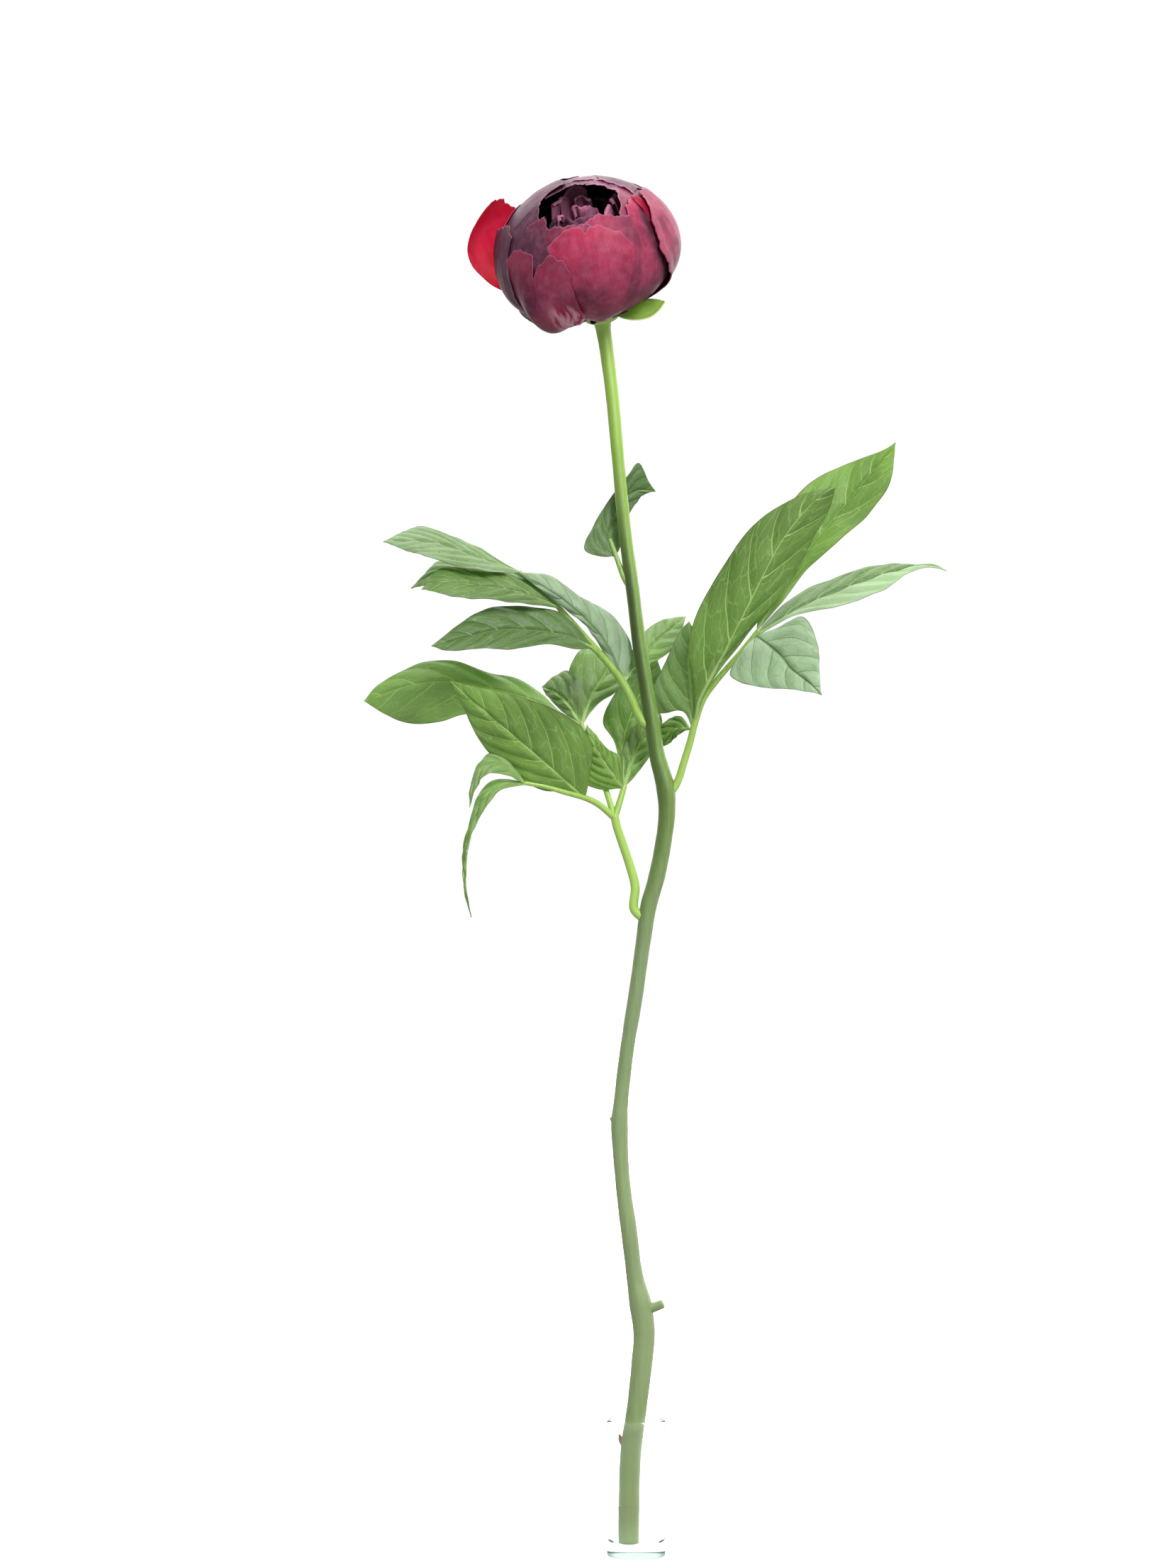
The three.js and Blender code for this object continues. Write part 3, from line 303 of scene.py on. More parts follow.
PETALS = [
    {"start": [138, 112, 100, 101, 101, 99], "end": [152, 160, 161, 155, 151, 149], "rim": [97, 106, 109,
     110, 104, 105, 111, 112, 112, 110, 100], "slits": [[0.48, 12, 0.03]],
     "swell": [1, 1.14, 1.12, 1.05, 1.01], "keel": 0.12, "pale": 1.0, "grey": 0.25},
    {"start": [80, 77, 66, 67, 62, 58, 58], "end": [104, 100, 100, 104, 112, 118, 120], "rim": [107, 119,
     124, 128, 129, 126, 129.5, 129, 126, 121, 113], "slits": [[0.5, 3, 0.02]],
     "swell": [1, 1.0, 0.99, 0.985, 0.975], "bulge": 0.055, "red": 0.6},
    {"start": [-14, -30, -38, -40], "end": [14, 16, 20, 31, 37, 33, 15], "rim": [105, 124, 134, 137, 133],
     "swell": [1, 0.995, 0.98, 0.945, 0.918], "lift": 0.022, "bulge": 0.008, "grey": 0.1, "ragged": 0.8},
    {"start": [4, 6, 8, 10, 12, 8, 6], "end": [78, 76, 75, 73, 68, 55, 40], "rim": [128, 138, 140, 137],
     "swell": [1, 0.96, 0.94, 0.922, 0.903, 0.886], "bulge": 0.008, "red": 0.7, "shadow": [14, 16, 20, 31,
     37, 33, 15]},
    {"start": [13, 14, 16, 15], "end": [24, 30, 33, 27], "rim": [136, 139, 139, 133],
     "swell": [0.86, 0.87, 0.898, 0.903], "lit": 1.0},
    {"start": [178, 174, 180, 182], "end": [205, 226, 240], "rim": [111, 118.5, 119.5, 115, 107, 98],
     "swell": [1, 0.98, 1.0, 1.18, 1.31, 1.25], "slits": [[0.1, 7, 0.018], [0.17, 4, 0.012]], "lit": 1.0},
    {"start": [150, 146, 150], "end": [170, 178, 184], "rim": [119, 123, 120, 112],
     "swell": [1, 1.09, 1.04, 1.01], "grey": 0.95},
    {"start": [120, 108, 112, 130], "end": [150, 158, 157, 152], "rim": [130, 136, 143, 148, 140, 124],
     "swell": [1, 1, 1, 0.99], "grey": 1.0},
    {"start": [125, 120, 118], "end": [135, 137, 138], "rim": [130, 136, 135, 128],
     "swell": [1, 0.96, 0.97, 1.0], "grey": 0.6},
    {"start": [90, 82, 78], "end": [120, 130, 132], "rim": [128, 131, 132, 129, 125],
     "swell": [1, 0.96, 0.96, 0.965], "grey": 0.5},
    {"start": [62, 57, 48], "end": [85, 92, 90], "rim": [128, 132, 135, 136, 132],
     "swell": [1, 0.955, 0.955, 0.96], "grey": 0.2},
    {"start": [160, 150, 134], "end": [235, 262, 268], "rim": [136, 156, 168, 168, 152, 140],
     "swell": [1, 0.98, 0.945, 0.915], "bulge": 0.006, "grey": 1.0, "shut": 1.0},
    {"start": [-60, -72, -75], "end": [40, 50, 52], "rim": [128, 140, 150, 157, 150, 136],
     "swell": [1, 0.92, 0.875, 0.865], "grey": 0.6, "shut": 1.0},
    {"start": [-60, -72, -74], "end": [-30, -26, -24], "rim": [120, 130, 131, 122],
     "swell": [1, 0.98, 0.94, 0.91]},
    {"start": [-125, -130, -128], "end": [-75, -62, -60], "rim": [116, 126, 130, 128, 116],
     "swell": [1, 1.06, 1.02, 0.97]},
    {"start": [-170, -176, -174], "end": [-120, -108, -105], "rim": [112, 124, 128, 122],
     "swell": [1, 1.03, 0.99, 0.96]},
    {"start": [-150, -140, -135], "end": [-90, -60, -50], "rim": [140, 160, 170, 164, 150],
     "swell": [1, 0.95, 0.9, 0.87], "grey": 0.8, "shut": 1.0},
]
# How wide a petal beside another is dull and dark along its edge, in painted shadow, as angles
SHADOW = {"dull": 7, "dark": 5}
# Hoods come over the top from the back. start and end are their side edges and rim their front edge, as
# angles from the axis to the side and to the front.
HOOD_ROOT = -72.0
HOODS = [
    {"start": [-40, -40, -34, -26], "end": [50, 48, 40, 34], "rim": [4, 1, -1, -1, 1, 5, 10],
     "swell": [0.86, 0.872, 0.862], "grey": 0.0},
    {"start": [-34, -34, -26, -20], "end": [26, 24, 18, 14], "rim": [-3, -5, -6, -6.5, -5],
     "swell": [0.87, 0.89, 0.892], "grey": 0.12},
    {"start": [-26, -22, -16, -11], "end": [18, 16, 14, 10], "rim": [3, 1, 0, 1, 0],
     "swell": [0.865, 0.882, 0.88], "grey": 0.0},
    {"start": [-4, -2, 0, 5], "end": [44, 40, 34, 27], "rim": [1.5, 3.5, 5, 8, 11],
     "swell": [0.865, 0.88, 0.874], "grey": 0.25},
    {"start": [0, 2, 8, 14], "end": [56, 52, 46, 38], "rim": [-3, -1, 1, 5, 10],
     "swell": [0.87, 0.893, 0.896], "grey": 0.1},
]
# Inner petals stand up from the seat and roll in at their rims: [angle round the axis, distance at the
# rim, height of the rim, half width, how pale]
INNER_PETALS = [
    [248, 11, 52.5, 6.5, 1.0], [222, 13, 49.5, 6, 0.7], [268, 7, 49, 4, 0.6],
    [105, 3.5, 48, 6, 0.9], [60, 5.5, 47.5, 5, 0.6], [170, 5, 47, 5, 0.5],
    [90, 9, 44.5, 8, 0.3], [130, 10, 43.5, 7, 0.2],
    [2, 14.5, 50, 6.5, 1.0], [28, 13, 47, 6, 0.9], [-22, 17, 50, 5, 0.5],
    [168, 11, 44.5, 1.7, 1.0],
    [200, 15, 41, 9, 0.0], [228, 20, 42, 10, 0.0], [258, 19, 43, 10, 0.0], [290, 19, 43, 10, 0.0],
    [320, 18, 43, 9, 0.0], [345, 21, 44, 9, 0.0], [180, 20, 40, 9, 0.0], [150, 19, 40, 9, 0.0],
    [120, 20, 40, 10, 0.0], [90, 20, 41, 10, 0.0], [60, 20, 42, 10, 0.1], [30, 21, 44, 9, 0.1],
]
SEPALS = [
    {"start": [30, 30, 34], "end": [78, 74, 62], "rim": [20, 24, 24, 20], "swell": [1.02, 1.02, 1.01, 1.01],
     "dark": 0.5},
    {"start": [142, 148, 152], "end": [200, 190, 180], "rim": [42, 48, 49, 43],
     "swell": [1.06, 1.13, 1.16, 1.14], "dark": 0.7},
    {"start": [-175, -150, -135], "end": [-110, -104, -116], "rim": [58, 66, 60],
     "swell": [1.1, 1.13, 1.14, 1.13]},
    {"start": [-80, -80, -64], "end": [-20, -22, -44], "rim": [54, 64, 58],
     "swell": [1.1, 1.13, 1.14, 1.12]},
    {"start": [88, 98, 102], "end": [122, 120, 114], "rim": [13, 16, 14], "swell": [1.02, 1.03, 1.05, 1.07],
     "dark": 1.0},
]
# The right-hand sepal stands off the bloom like a spoon, in the front view layout
SPOON = {"rib": [[-9, 525.4, -4], [-3, 525.0, -8], [4, 526.2, -9.5], [9, 528.8, -8.5], [12, 530.5, -7]],
         "low": [[-6, 523.8], [0, 522.9], [6.4, 524.3], [10.6, 528.0]],
         "high": [[-7, 528], [-1.5, 530.6], [4.6, 531.7], [10, 531.3]],
         "turn": [-0.5, 1.0], "dip": 1.8, "ends": 0.3}
# Small irregular waves: [added to the seed, sizes, number of turns]
FRILLS = {
    "leaf": [40, (1.0, 0.6, 0.4), (2.3, 4.9, 7.1)],
    "stem": [5, (1.0, 0.6, 0.4), (17.0, 43.0, 97.0)],
    "rim": [0, (0.8, 0.6, 0.45), (1.7, 4.3, 9.1)],
    "edge": [50, (1.0, 0.5, 0.3), (1.3, 3.1, 6.7)],
    "tatter": [70, (0.8, 0.7, 0.5), (6.1, 11.3, 19.7)],
    "crease": [90, (1.0, 0.7, 0.5), (1.3, 3.3, 7.7)],
    "hood_rim": [0, (0.9, 0.5, 0.3), (1.3, 2.9, 6.1)],
    "hood_edge": [50, (1.0, 0.6), (2.3, 5.1)],
    "hood_crease": [90, (1.0, 0.7, 0.5), (1.3, 3.3, 6.7)],
    "inner_rim": [0, (0.6, 0.3, 0.12), (0.9, 1.9, 3.7)],
    "inner_wave": [31, (1.0, 0.5, 0.2), (0.7, 1.5, 2.7)],
}
# Seeds: [that of the first petal, step to the next]
SEEDS = {"petals": [1, 7], "sepals": [200, 5], "inner": [300, 3], "hoods": [400, 7]}
# An inner petal's foot, the share of its height at which its rim starts to roll in, and the roll's radius
INNER_SEAT = 4.0
ROLL_START = 0.86
ROLL_SIZE = 0.8
RECEPTACLE = [[0, -0.2], [6.5, 0.2], [9.5, 3], [9, 7], [5, 12], [0, 14]]
# How ruffled the sepals are beside the petals, and how dark where the table doesn't say
SEPAL_RUFFLE = 0.5
SEPAL_DARK = 0.4
CALYX_CUP = {"radius": 7.4, "low": -3.5, "high": -1.2, "rounding": 0.8}


# Curves

def place(points):
    """Points of the front view layout at their true places."""
    points = np.asarray(points, float)
    across, up, depth = points[..., 0], points[..., 1], points[..., 2]
    spread = (EYE["distance"] + depth) / EYE["distance"]
    return np.stack([EYE["across"] + (across - EYE["across"]) * spread, depth,
                     EYE["up"] + (up - EYE["up"]) * spread], -1)


def curve(points, count, steps=24):
    """count + 1 evenly spaced points on a smooth curve through the given ones."""
    points = np.array(points, float)
    if len(points) == 2:
        return points[0] + (points[1] - points[0]) * np.linspace(0, 1, count + 1)[:, None]
    points = np.vstack([2 * points[0] - points[1], points, 2 * points[-1] - points[-2]])
    line = []
    for i in range(1, len(points) - 2):
        a, b, c, d = points[i - 1:i + 3]
        gaps = [np.linalg.norm(q - p) for p, q in ((a, b), (b, c), (c, d))]
        knots = np.cumsum([0] + [max(gap, 1e-9) ** 0.5 for gap in gaps])
        t = np.linspace(knots[1], knots[2], steps, endpoint=False)[:, None]
        low = blend_between(a, b, knots[0], knots[1], t)
        mid = blend_between(b, c, knots[1], knots[2], t)
        high = blend_between(c, d, knots[2], knots[3], t)
        low = blend_between(low, mid, knots[0], knots[2], t)
        high = blend_between(mid, high, knots[1], knots[3], t)
        line.append(blend_between(low, high, knots[1], knots[2], t))
    line = np.vstack(line + [points[-2:-1]])
    run = np.r_[0, np.cumsum(np.linalg.norm(np.diff(line, axis=0), axis=1))]
    at = np.linspace(0, run[-1], count + 1)
    return np.stack([np.interp(at, run, line[:, k]) for k in range(line.shape[1])], -1)


def blend_between(a, b, start, end, t):
    return ((end - t) * a + (t - start) * b) / (end - start)


def ramp(values, t):
    """Value at t of a smooth curve through evenly spaced values."""
    values = np.asarray(values, float)
    last = len(values) - 1
    at = np.clip(t, 0, 1) * last
    i = np.minimum(np.floor(at).astype(int), last - 1)
    f = at - i
    a, b, c, d = (values[np.clip(i + k, 0, last)] for k in (-1, 0, 1, 2))
    return b + 0.5 * f * (c - a + f * (2 * a - 5 * b + 4 * c - d + f * (3 * (b - c) + d - a)))


def smooth(t, low, high):
    """0 below low, 1 above high and an eased rise between them."""
    t = np.clip((t - low) / (high - low), 0, 1)
    return t * t * (3 - 2 * t)


def frill(t, name, seed=0):
    """A gently irregular wave along t."""
    start, sizes, turns = FRILLS[name]
    phases = np.random.default_rng(start + seed).uniform(0, 2 * math.pi, len(sizes))
    return sum(size * np.sin(2 * math.pi * turn * t + phase)
               for size, turn, phase in zip(sizes, turns, phases))


def shares(rows, columns):
    """The share up, as a column, and the share across, as a row."""
    return np.linspace(0, 1, rows + 1)[:, None], np.linspace(0, 1, columns + 1)[None, :]


def stacked(*values):
    """Maps from the values that each place of a grid has."""
    return np.stack(np.broadcast_arrays(*values), -1)


# Meshes

class Form:
    """Vertices, faces, three maps and a material number for each face, gathered into one mesh."""

    def __init__(self):
        self.points = []
        self.faces = []
        self.maps = []
        self.slots = []
        self.count = 0

    def add(self, points, faces, maps=None, slots=0):
        points = np.asarray(points, float).reshape(-1, 3)
        faces = [np.asarray(face) + self.count for face in faces]
        self.points.append(points)
        self.faces.extend(faces)
        self.maps.append(np.zeros((len(points), 6)) if maps is None else maps)
        self.slots.extend([slots] * len(faces) if isinstance(slots, int) else slots)
        self.count += len(points)

    def piece(self, name, materials, slot, *nodes):
        mesh = bpy.data.meshes.new(name)
        points = np.vstack(self.points) * MM
        mesh.from_pydata(points.tolist(), [], [face.tolist() for face in self.faces])
        corner = np.empty(len(mesh.loops), np.int32)
        mesh.loops.foreach_get("vertex_index", corner)
        maps = np.vstack(self.maps)[corner].astype(np.float32)
        for k, title in enumerate(("first", "second", "third")):
            layer = mesh.uv_layers.new(name=title)
            layer.data.foreach_set("uv", maps[:, 2 * k:2 * k + 2].ravel())
        mesh.polygons.foreach_set("material_index", np.array(self.slots, np.int32))
        mesh.polygons.foreach_set("use_smooth", np.ones(len(self.faces), bool))
        mesh.set_sharp_from_angle(angle=math.radians(SHARP_ANGLE))
        mesh.update()
        piece = bpy.data.objects.new(name, mesh)
        bpy.context.scene.collection.objects.link(piece)
        for material in materials:
            mesh.materials.append(material)
        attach(piece, "root")
        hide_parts(*nodes)


def normals(grid):
    """Directions at right angles to a grid of points."""
    sideways = np.gradient(grid, axis=1)
    onward = np.gradient(grid, axis=0)
    across = np.cross(sideways, onward)
    return across / np.maximum(np.linalg.norm(across, axis=-1, keepdims=True), 1e-12)


def add_sheet(form, grid, thickness, maps, slots=(0, 1)):
    """A closed sheet about a grid of points. Its two sides may have their own materials."""
    rows, columns = grid.shape[:2]
    offset = normals(grid) * np.broadcast_to(thickness, (rows, columns))[..., None] / 2
    points = np.concatenate([(grid + offset).reshape(-1, 3), (grid - offset).reshape(-1, 3)])
    number = np.arange(rows * columns).reshape(rows, columns)
    quads = np.stack([number[:-1, :-1], number[:-1, 1:], number[1:, 1:], number[1:, :-1]], -1).reshape(-1, 4)
    border = np.concatenate([number[0, :-1], number[:-1, -1], number[-1, :0:-1], number[:0:-1, 0]])
    onward = np.roll(border, -1)
    back = rows * columns
    rim = np.stack([onward, border, border + back, onward + back], -1)
    faces = np.concatenate([quads, quads[:, ::-1] + back, rim])
    sides = [slots[0]] * len(quads) + [slots[1]] * len(quads) + [slots[0]] * len(rim)
    flat = maps.reshape(-1, 6)
    form.add(points, faces, np.concatenate([flat, flat]), sides)


def add_rod(form, points, radii, sides, slot=0, ribs=0.0, tint=0.0):
    """A closed round rod with rounded ends. Its maps give the way round it and its tint."""
    points = np.asarray(points, float)
    ahead = np.gradient(points, axis=0)
    ahead /= np.linalg.norm(ahead, axis=1, keepdims=True)
    side = np.array([1.0, 0, 0])
    turn = 2 * math.pi * np.arange(sides) / sides
    rings = []
    for point, direction, radius in zip(points, ahead, radii):
        side = side - side.dot(direction) * direction
        side /= np.linalg.norm(side)
        across = np.cross(direction, side)
        shape = radius * (1 + ribs * (np.cos(7 * turn + 0.5) + 0.5 * np.cos(11 * turn)))
        away = np.cos(turn)[:, None] * side + np.sin(turn)[:, None] * across
        rings.append(point + shape[:, None] * away)
    for end, inner in ((0, 1), (-1, -2)):
        middle = points[end]
        out = points[end] - points[inner]
        out /= np.linalg.norm(out)
        for k in (1, 2, 3):
            angle, before = k * math.pi / 8, (k - 1) * math.pi / 8
            step = out * radii[end] * ROD_END * (math.sin(angle) - math.sin(before))
            narrower = math.cos(angle) / math.cos(before)
            cap = middle + (rings[end] - middle) * narrower + step
            middle = middle + step
            if end == 0:
                rings.insert(0, cap)
            else:
                rings.append(cap)
    count = len(rings)
    number = np.arange(count * sides).reshape(count, sides)
    nearby = np.roll(number, -1, axis=1)
    quads = np.stack([number[:-1], nearby[:-1], nearby[1:], number[1:]], -1).reshape(-1, 4)
    around = np.tile(np.stack([np.cos(turn), np.sin(turn), np.full(sides, tint)], -1), (count, 1))
    maps = np.concatenate([around, np.zeros((len(around), 3))], 1)
    form.add(np.vstack(rings), [*quads, number[0, ::-1], number[-1]], maps, slot)


def add_lathe(form, profile, sides, basis=None, slot=0):
    """A turned form. The profile's points are [distance from the axis, height]."""
    profile = np.asarray(profile, float)
    turn = 2 * math.pi * np.arange(sides) / sides
    ring = np.stack([np.cos(turn), np.sin(turn), np.zeros(sides)], -1)
    points, rows = [], []
    start = 0
    for distance, height in profile:
        if distance < 1e-6:
            points.append([[0, 0, height]])
            rows.append([start])
            start += 1
        else:
            points.append(ring * distance + [0, 0, height])
            rows.append(list(range(start, start + sides)))
            start += sides
    faces = []
    for low, high in zip(rows, rows[1:]):
        for k in range(sides):
            n = (k + 1) % sides
            if len(low) == 1:
                faces.append([low[0], high[n], high[k]])
            elif len(high) == 1:
                faces.append([low[k], low[n], high[0]])
            else:
                faces.append([low[k], low[n], high[n], high[k]])
    points = np.vstack(points)
    if basis is not None:
        origin, axes = basis
        points = origin + points @ np.array(axes)
    form.add(points, faces, slots=slot)


def arc(centre, size, start, end, steps=10):
    """An arc from one direction to another, as [distance, height] points."""
    turns = np.radians(np.linspace(start, end, steps + 1))
    return [[centre[0] + size * math.cos(turn), centre[1] + size * math.sin(turn)] for turn in turns]


# Materials

class Value:
    """What comes out of a node. A sum with it adds the node that does the sum."""

    def __init__(self, shader, socket):
        self.shader = shader
        self.socket = socket

    def __add__(self, other):
        return self.shader.math("ADD", self, other)

    def __sub__(self, other):
        return self.shader.math("SUBTRACT", self, other)

    def __rsub__(self, other):
        return self.shader.math("SUBTRACT", other, self)

    def __mul__(self, other):
        return self.shader.math("MULTIPLY", self, other)

    def __truediv__(self, other):
        return self.shader.math("DIVIDE", self, other)

    def __abs__(self):
        return self.shader.math("ABSOLUTE", self)


class Shader:
    """The nodes of a material or of the world, added one at a time."""

    def __init__(self, owner, output="ShaderNodeOutputMaterial"):
        self.owner = owner
        owner.use_nodes = True
        self.tree = owner.node_tree
        self.tree.nodes.clear()
        self.output = self.add(output)

    def add(self, kind, settings=None, **inputs):
        node = self.tree.nodes.new(kind)
        for key, value in (settings or {}).items():
            setattr(node, key, value)
        for key, value in inputs.items():
            self.set(node, key.replace("_", " "), value)
        return node

    def set(self, node, key, value):
        """Gives an input a plain value, a colour in hex digits or what comes out of another node."""
        if isinstance(value, Value):
            self.tree.links.new(value.socket, node.inputs[key])
        else:
            node.inputs[key].default_value = rgb(value) if isinstance(value, str) else value

    def fill(self, node, *values):
        """Sets the first inputs of a node, and gives what comes out of it."""
        for key, value in enumerate(values):
            self.set(node, key, value)
        return self.out(node)

    def out(self, node, key=0):
        return Value(self, node.outputs[key])

    def math(self, operation, *values):
        return self.fill(self.add("ShaderNodeMath", {"operation": operation}), *values)

    def most(self, a, b):
        return self.math("MAXIMUM", a, b)

    def fade(self, value, low, high, first=0.0, last=1.0):
        """Goes from first to last while value goes from low to high."""
        node = self.add("ShaderNodeMapRange", {"interpolation_type": "SMOOTHSTEP"}, Value=value)
        for key, number in (("From Min", low), ("From Max", high), ("To Min", first), ("To Max", last)):
            self.set(node, key, number)
        return self.out(node)

    def drop(self, value, low, high):
        return self.fade(value, low, high, 1.0, 0.0)

    def mix(self, share, first, last):
        """A colour between two others."""
        node = self.add("ShaderNodeMix", {"data_type": "RGBA"})
        for key, value in ((0, share), (6, first), (7, last)):
            self.set(node, key, value)
        return self.out(node, 2)

    def noise(self, vector, scale, detail=2.0, roughness=0.5, key="Fac"):
        node = self.add("ShaderNodeTexNoise", Vector=vector, Scale=scale, Detail=detail, Roughness=roughness)
        return self.out(node, key)

    def cells(self, vector, scale, feature="F1"):
        """Distance to the middle or to the edge of the nearest cell."""
        return self.out(self.add("ShaderNodeTexVoronoi", {"feature": feature}, Vector=vector, Scale=scale))

    def net(self, vector, scale, low, high):
        return self.drop(self.cells(vector, scale, "DISTANCE_TO_EDGE"), low, high)

    def vector(self, operation, *values):
        return self.fill(self.add("ShaderNodeVectorMath", {"operation": operation}), *values)

    def stretched(self, vector, scale):
        return self.vector("MULTIPLY", vector, scale)

    def map(self, name):
        return self.out(self.add("ShaderNodeUVMap", {"uv_map": name}))

    def parts(self, vector):
        node = self.add("ShaderNodeSeparateXYZ", Vector=vector)
        return [self.out(node, key) for key in range(3)]

    def place(self, key="Object"):
        return self.out(self.add("ShaderNodeTexCoord"), key)

    def bump(self, height, strength, distance):
        return self.out(self.add("ShaderNodeBump", Height=height, Strength=strength, Distance=distance))

    def blend(self, share, first, last):
        """A surface between two others."""
        return self.fill(self.add("ShaderNodeMixShader"), share, self.out(first), self.out(last))

    def sight(self):
        """1 for a ray from the camera, and 1 for a ray that came through glass and met nothing else."""
        path = self.add("ShaderNodeLightPath")
        direct = self.math("LESS_THAN", self.out(path, "Diffuse Depth"), 0.5)
        inside = self.math("GREATER_THAN", self.out(path, "Transmission Depth"), 0.5)
        return self.out(path, "Is Camera Ray"), inside * direct

    def finish(self, surface):
        self.set(self.output, "Surface", surface)
        return self.owner


def rgb(text):
    """A colour written as six hex digits, as linear red, green, blue and alpha."""
    parts = [int(text[k:k + 2], 16) / 255 for k in (0, 2, 4)]
    return [p / 12.92 if p <= 0.04045 else ((p + 0.055) / 1.055) ** 2.4 for p in parts] + [1.0]


def thin_shader(nodes, lit, through, share, roughness, normal, gloss):
    """A thin blade: part of the light is sent back and part comes through it."""
    surface = nodes.add("ShaderNodeBsdfPrincipled", Base_Color=lit, Roughness=roughness, Normal=normal,
                        Specular_IOR_Level=gloss)
    glow = nodes.add("ShaderNodeBsdfTranslucent", Color=through, Normal=normal)
    return nodes.finish(nodes.blend(share, surface, glow))


def leaf_veins(nodes, across, along, sideways, number, spot):
    """How strongly the midrib, a side vein or the net between them shows at a place on the blade."""
    share = abs(across)
    rib_wide = nodes.most(0.32, 0.95 - along * 0.009)
    rib = nodes.drop(abs(sideways) / rib_wide, 0.45, 1.0)
    apart = nodes.math("PINGPONG", number, 0.5)
    wide = 0.046 - share * 0.02
    side = nodes.drop(apart / wide, 0.35, 1.0) * nodes.fade(share, 0.75, 0.97, 1.0, 0.25)
    even = nodes.out(nodes.add("ShaderNodeCombineXYZ", X=number * 2.6, Y=sideways * 0.26))
    warped = nodes.vector("MULTIPLY_ADD", nodes.noise(spot, 0.3, 1.0, key="Color"), (0.45, 0.45, 0.0), even)
    coarse = nodes.net(warped, 1.0, 0.01, 0.06)
    fine = nodes.net(warped, 3.2, 0.02, 0.12)
    return nodes.most(nodes.most(nodes.most(rib, side), coarse * 0.36), fine * 0.1)


def leaf_material(name, colors, under):
    """A peony leaflet: midrib, looping side veins and a net between them, on a quilted blade."""
    lit, lit_dark, through, vein, glow = colors.split()
    nodes = Shader(bpy.data.materials.new(name))
    phase, across, _ = nodes.parts(nodes.map("first"))
    spot = nodes.map("second")
    tone, wax_and_sheen, _ = nodes.parts(nodes.map("third"))
    along, sideways, _ = nodes.parts(spot)
    share = abs(across)
    here = nodes.place()
    wander = (nodes.noise(spot, 0.1, 1.0) - 0.5) * 0.14
    number = phase + wander + nodes.math("GREATER_THAN", across, 0.0) * 0.5
    apart = nodes.math("PINGPONG", number, 0.5)
    lines = leaf_veins(nodes, across, along, sideways, number, spot)
    lines = lines * nodes.fade(tone, -1.0, 0.2, 0.5, 1.0)
    cloud = nodes.fade(nodes.noise(here, 38.0, 3.0), 0.35, 0.68)
    grain = nodes.noise(here, 900.0, 2.0)
    margin = nodes.fade(share, 0.965, 0.995) * 0.55
    body = nodes.mix(nodes.fade(tone, -1.0, 1.0), lit_dark, lit)
    body = nodes.mix(cloud * 0.45, body, lit_dark)
    between = nodes.fade(apart, 0.05, 0.45) * 0.3
    body = nodes.mix(between, body, nodes.mix(0.5, body, LEAF_TONES["between"]))
    # Pale waxy bloom in patches, which also paints the leaflet's sheen.
    waxy_sheen_patches = wax_and_sheen * nodes.fade(nodes.noise(here, 70.0, 2.0), 0.3, 0.65, 0.6, 1.0)
    body = nodes.mix(waxy_sheen_patches, body, LEAF_TONES["wax_and_sheen"])
    # On the waxiest leaflets the veins take a dark colour: painted shade in the sunken veins.
    furrow_shade = nodes.fade(wax_and_sheen, 0.9, 1.2)
    crease = nodes.mix(0.7, lit_dark, LEAF_TONES["furrow_shade"])
    face = nodes.mix(lines * 0.85, body, nodes.mix(furrow_shade, vein, crease))
    face = nodes.mix(margin, face, LEAF_TONES["margin"])
    shine = nodes.mix(cloud * 0.35, through, lit_dark)
    shine = nodes.mix(nodes.fade(tone, -1.0, 0.6, 0.6, 0.0), shine, lit_dark)
    shine = nodes.mix(lines * 0.8, shine, nodes.mix(furrow_shade, glow, crease))
    shine = nodes.mix(margin, shine, LEAF_TONES["margin"])
    rise, gloss = (1.0, 0.3) if under else (-1.0, 0.4)
    height = lines * rise + grain * 0.3
    normal = nodes.bump(height, 0.5, 0.0003)
    rough = 0.55 if under else nodes.fade(grain, 0.2, 0.8, 0.36, 0.5)
    return thin_shader(nodes, face, shine, 0.42, rough, normal, gloss)


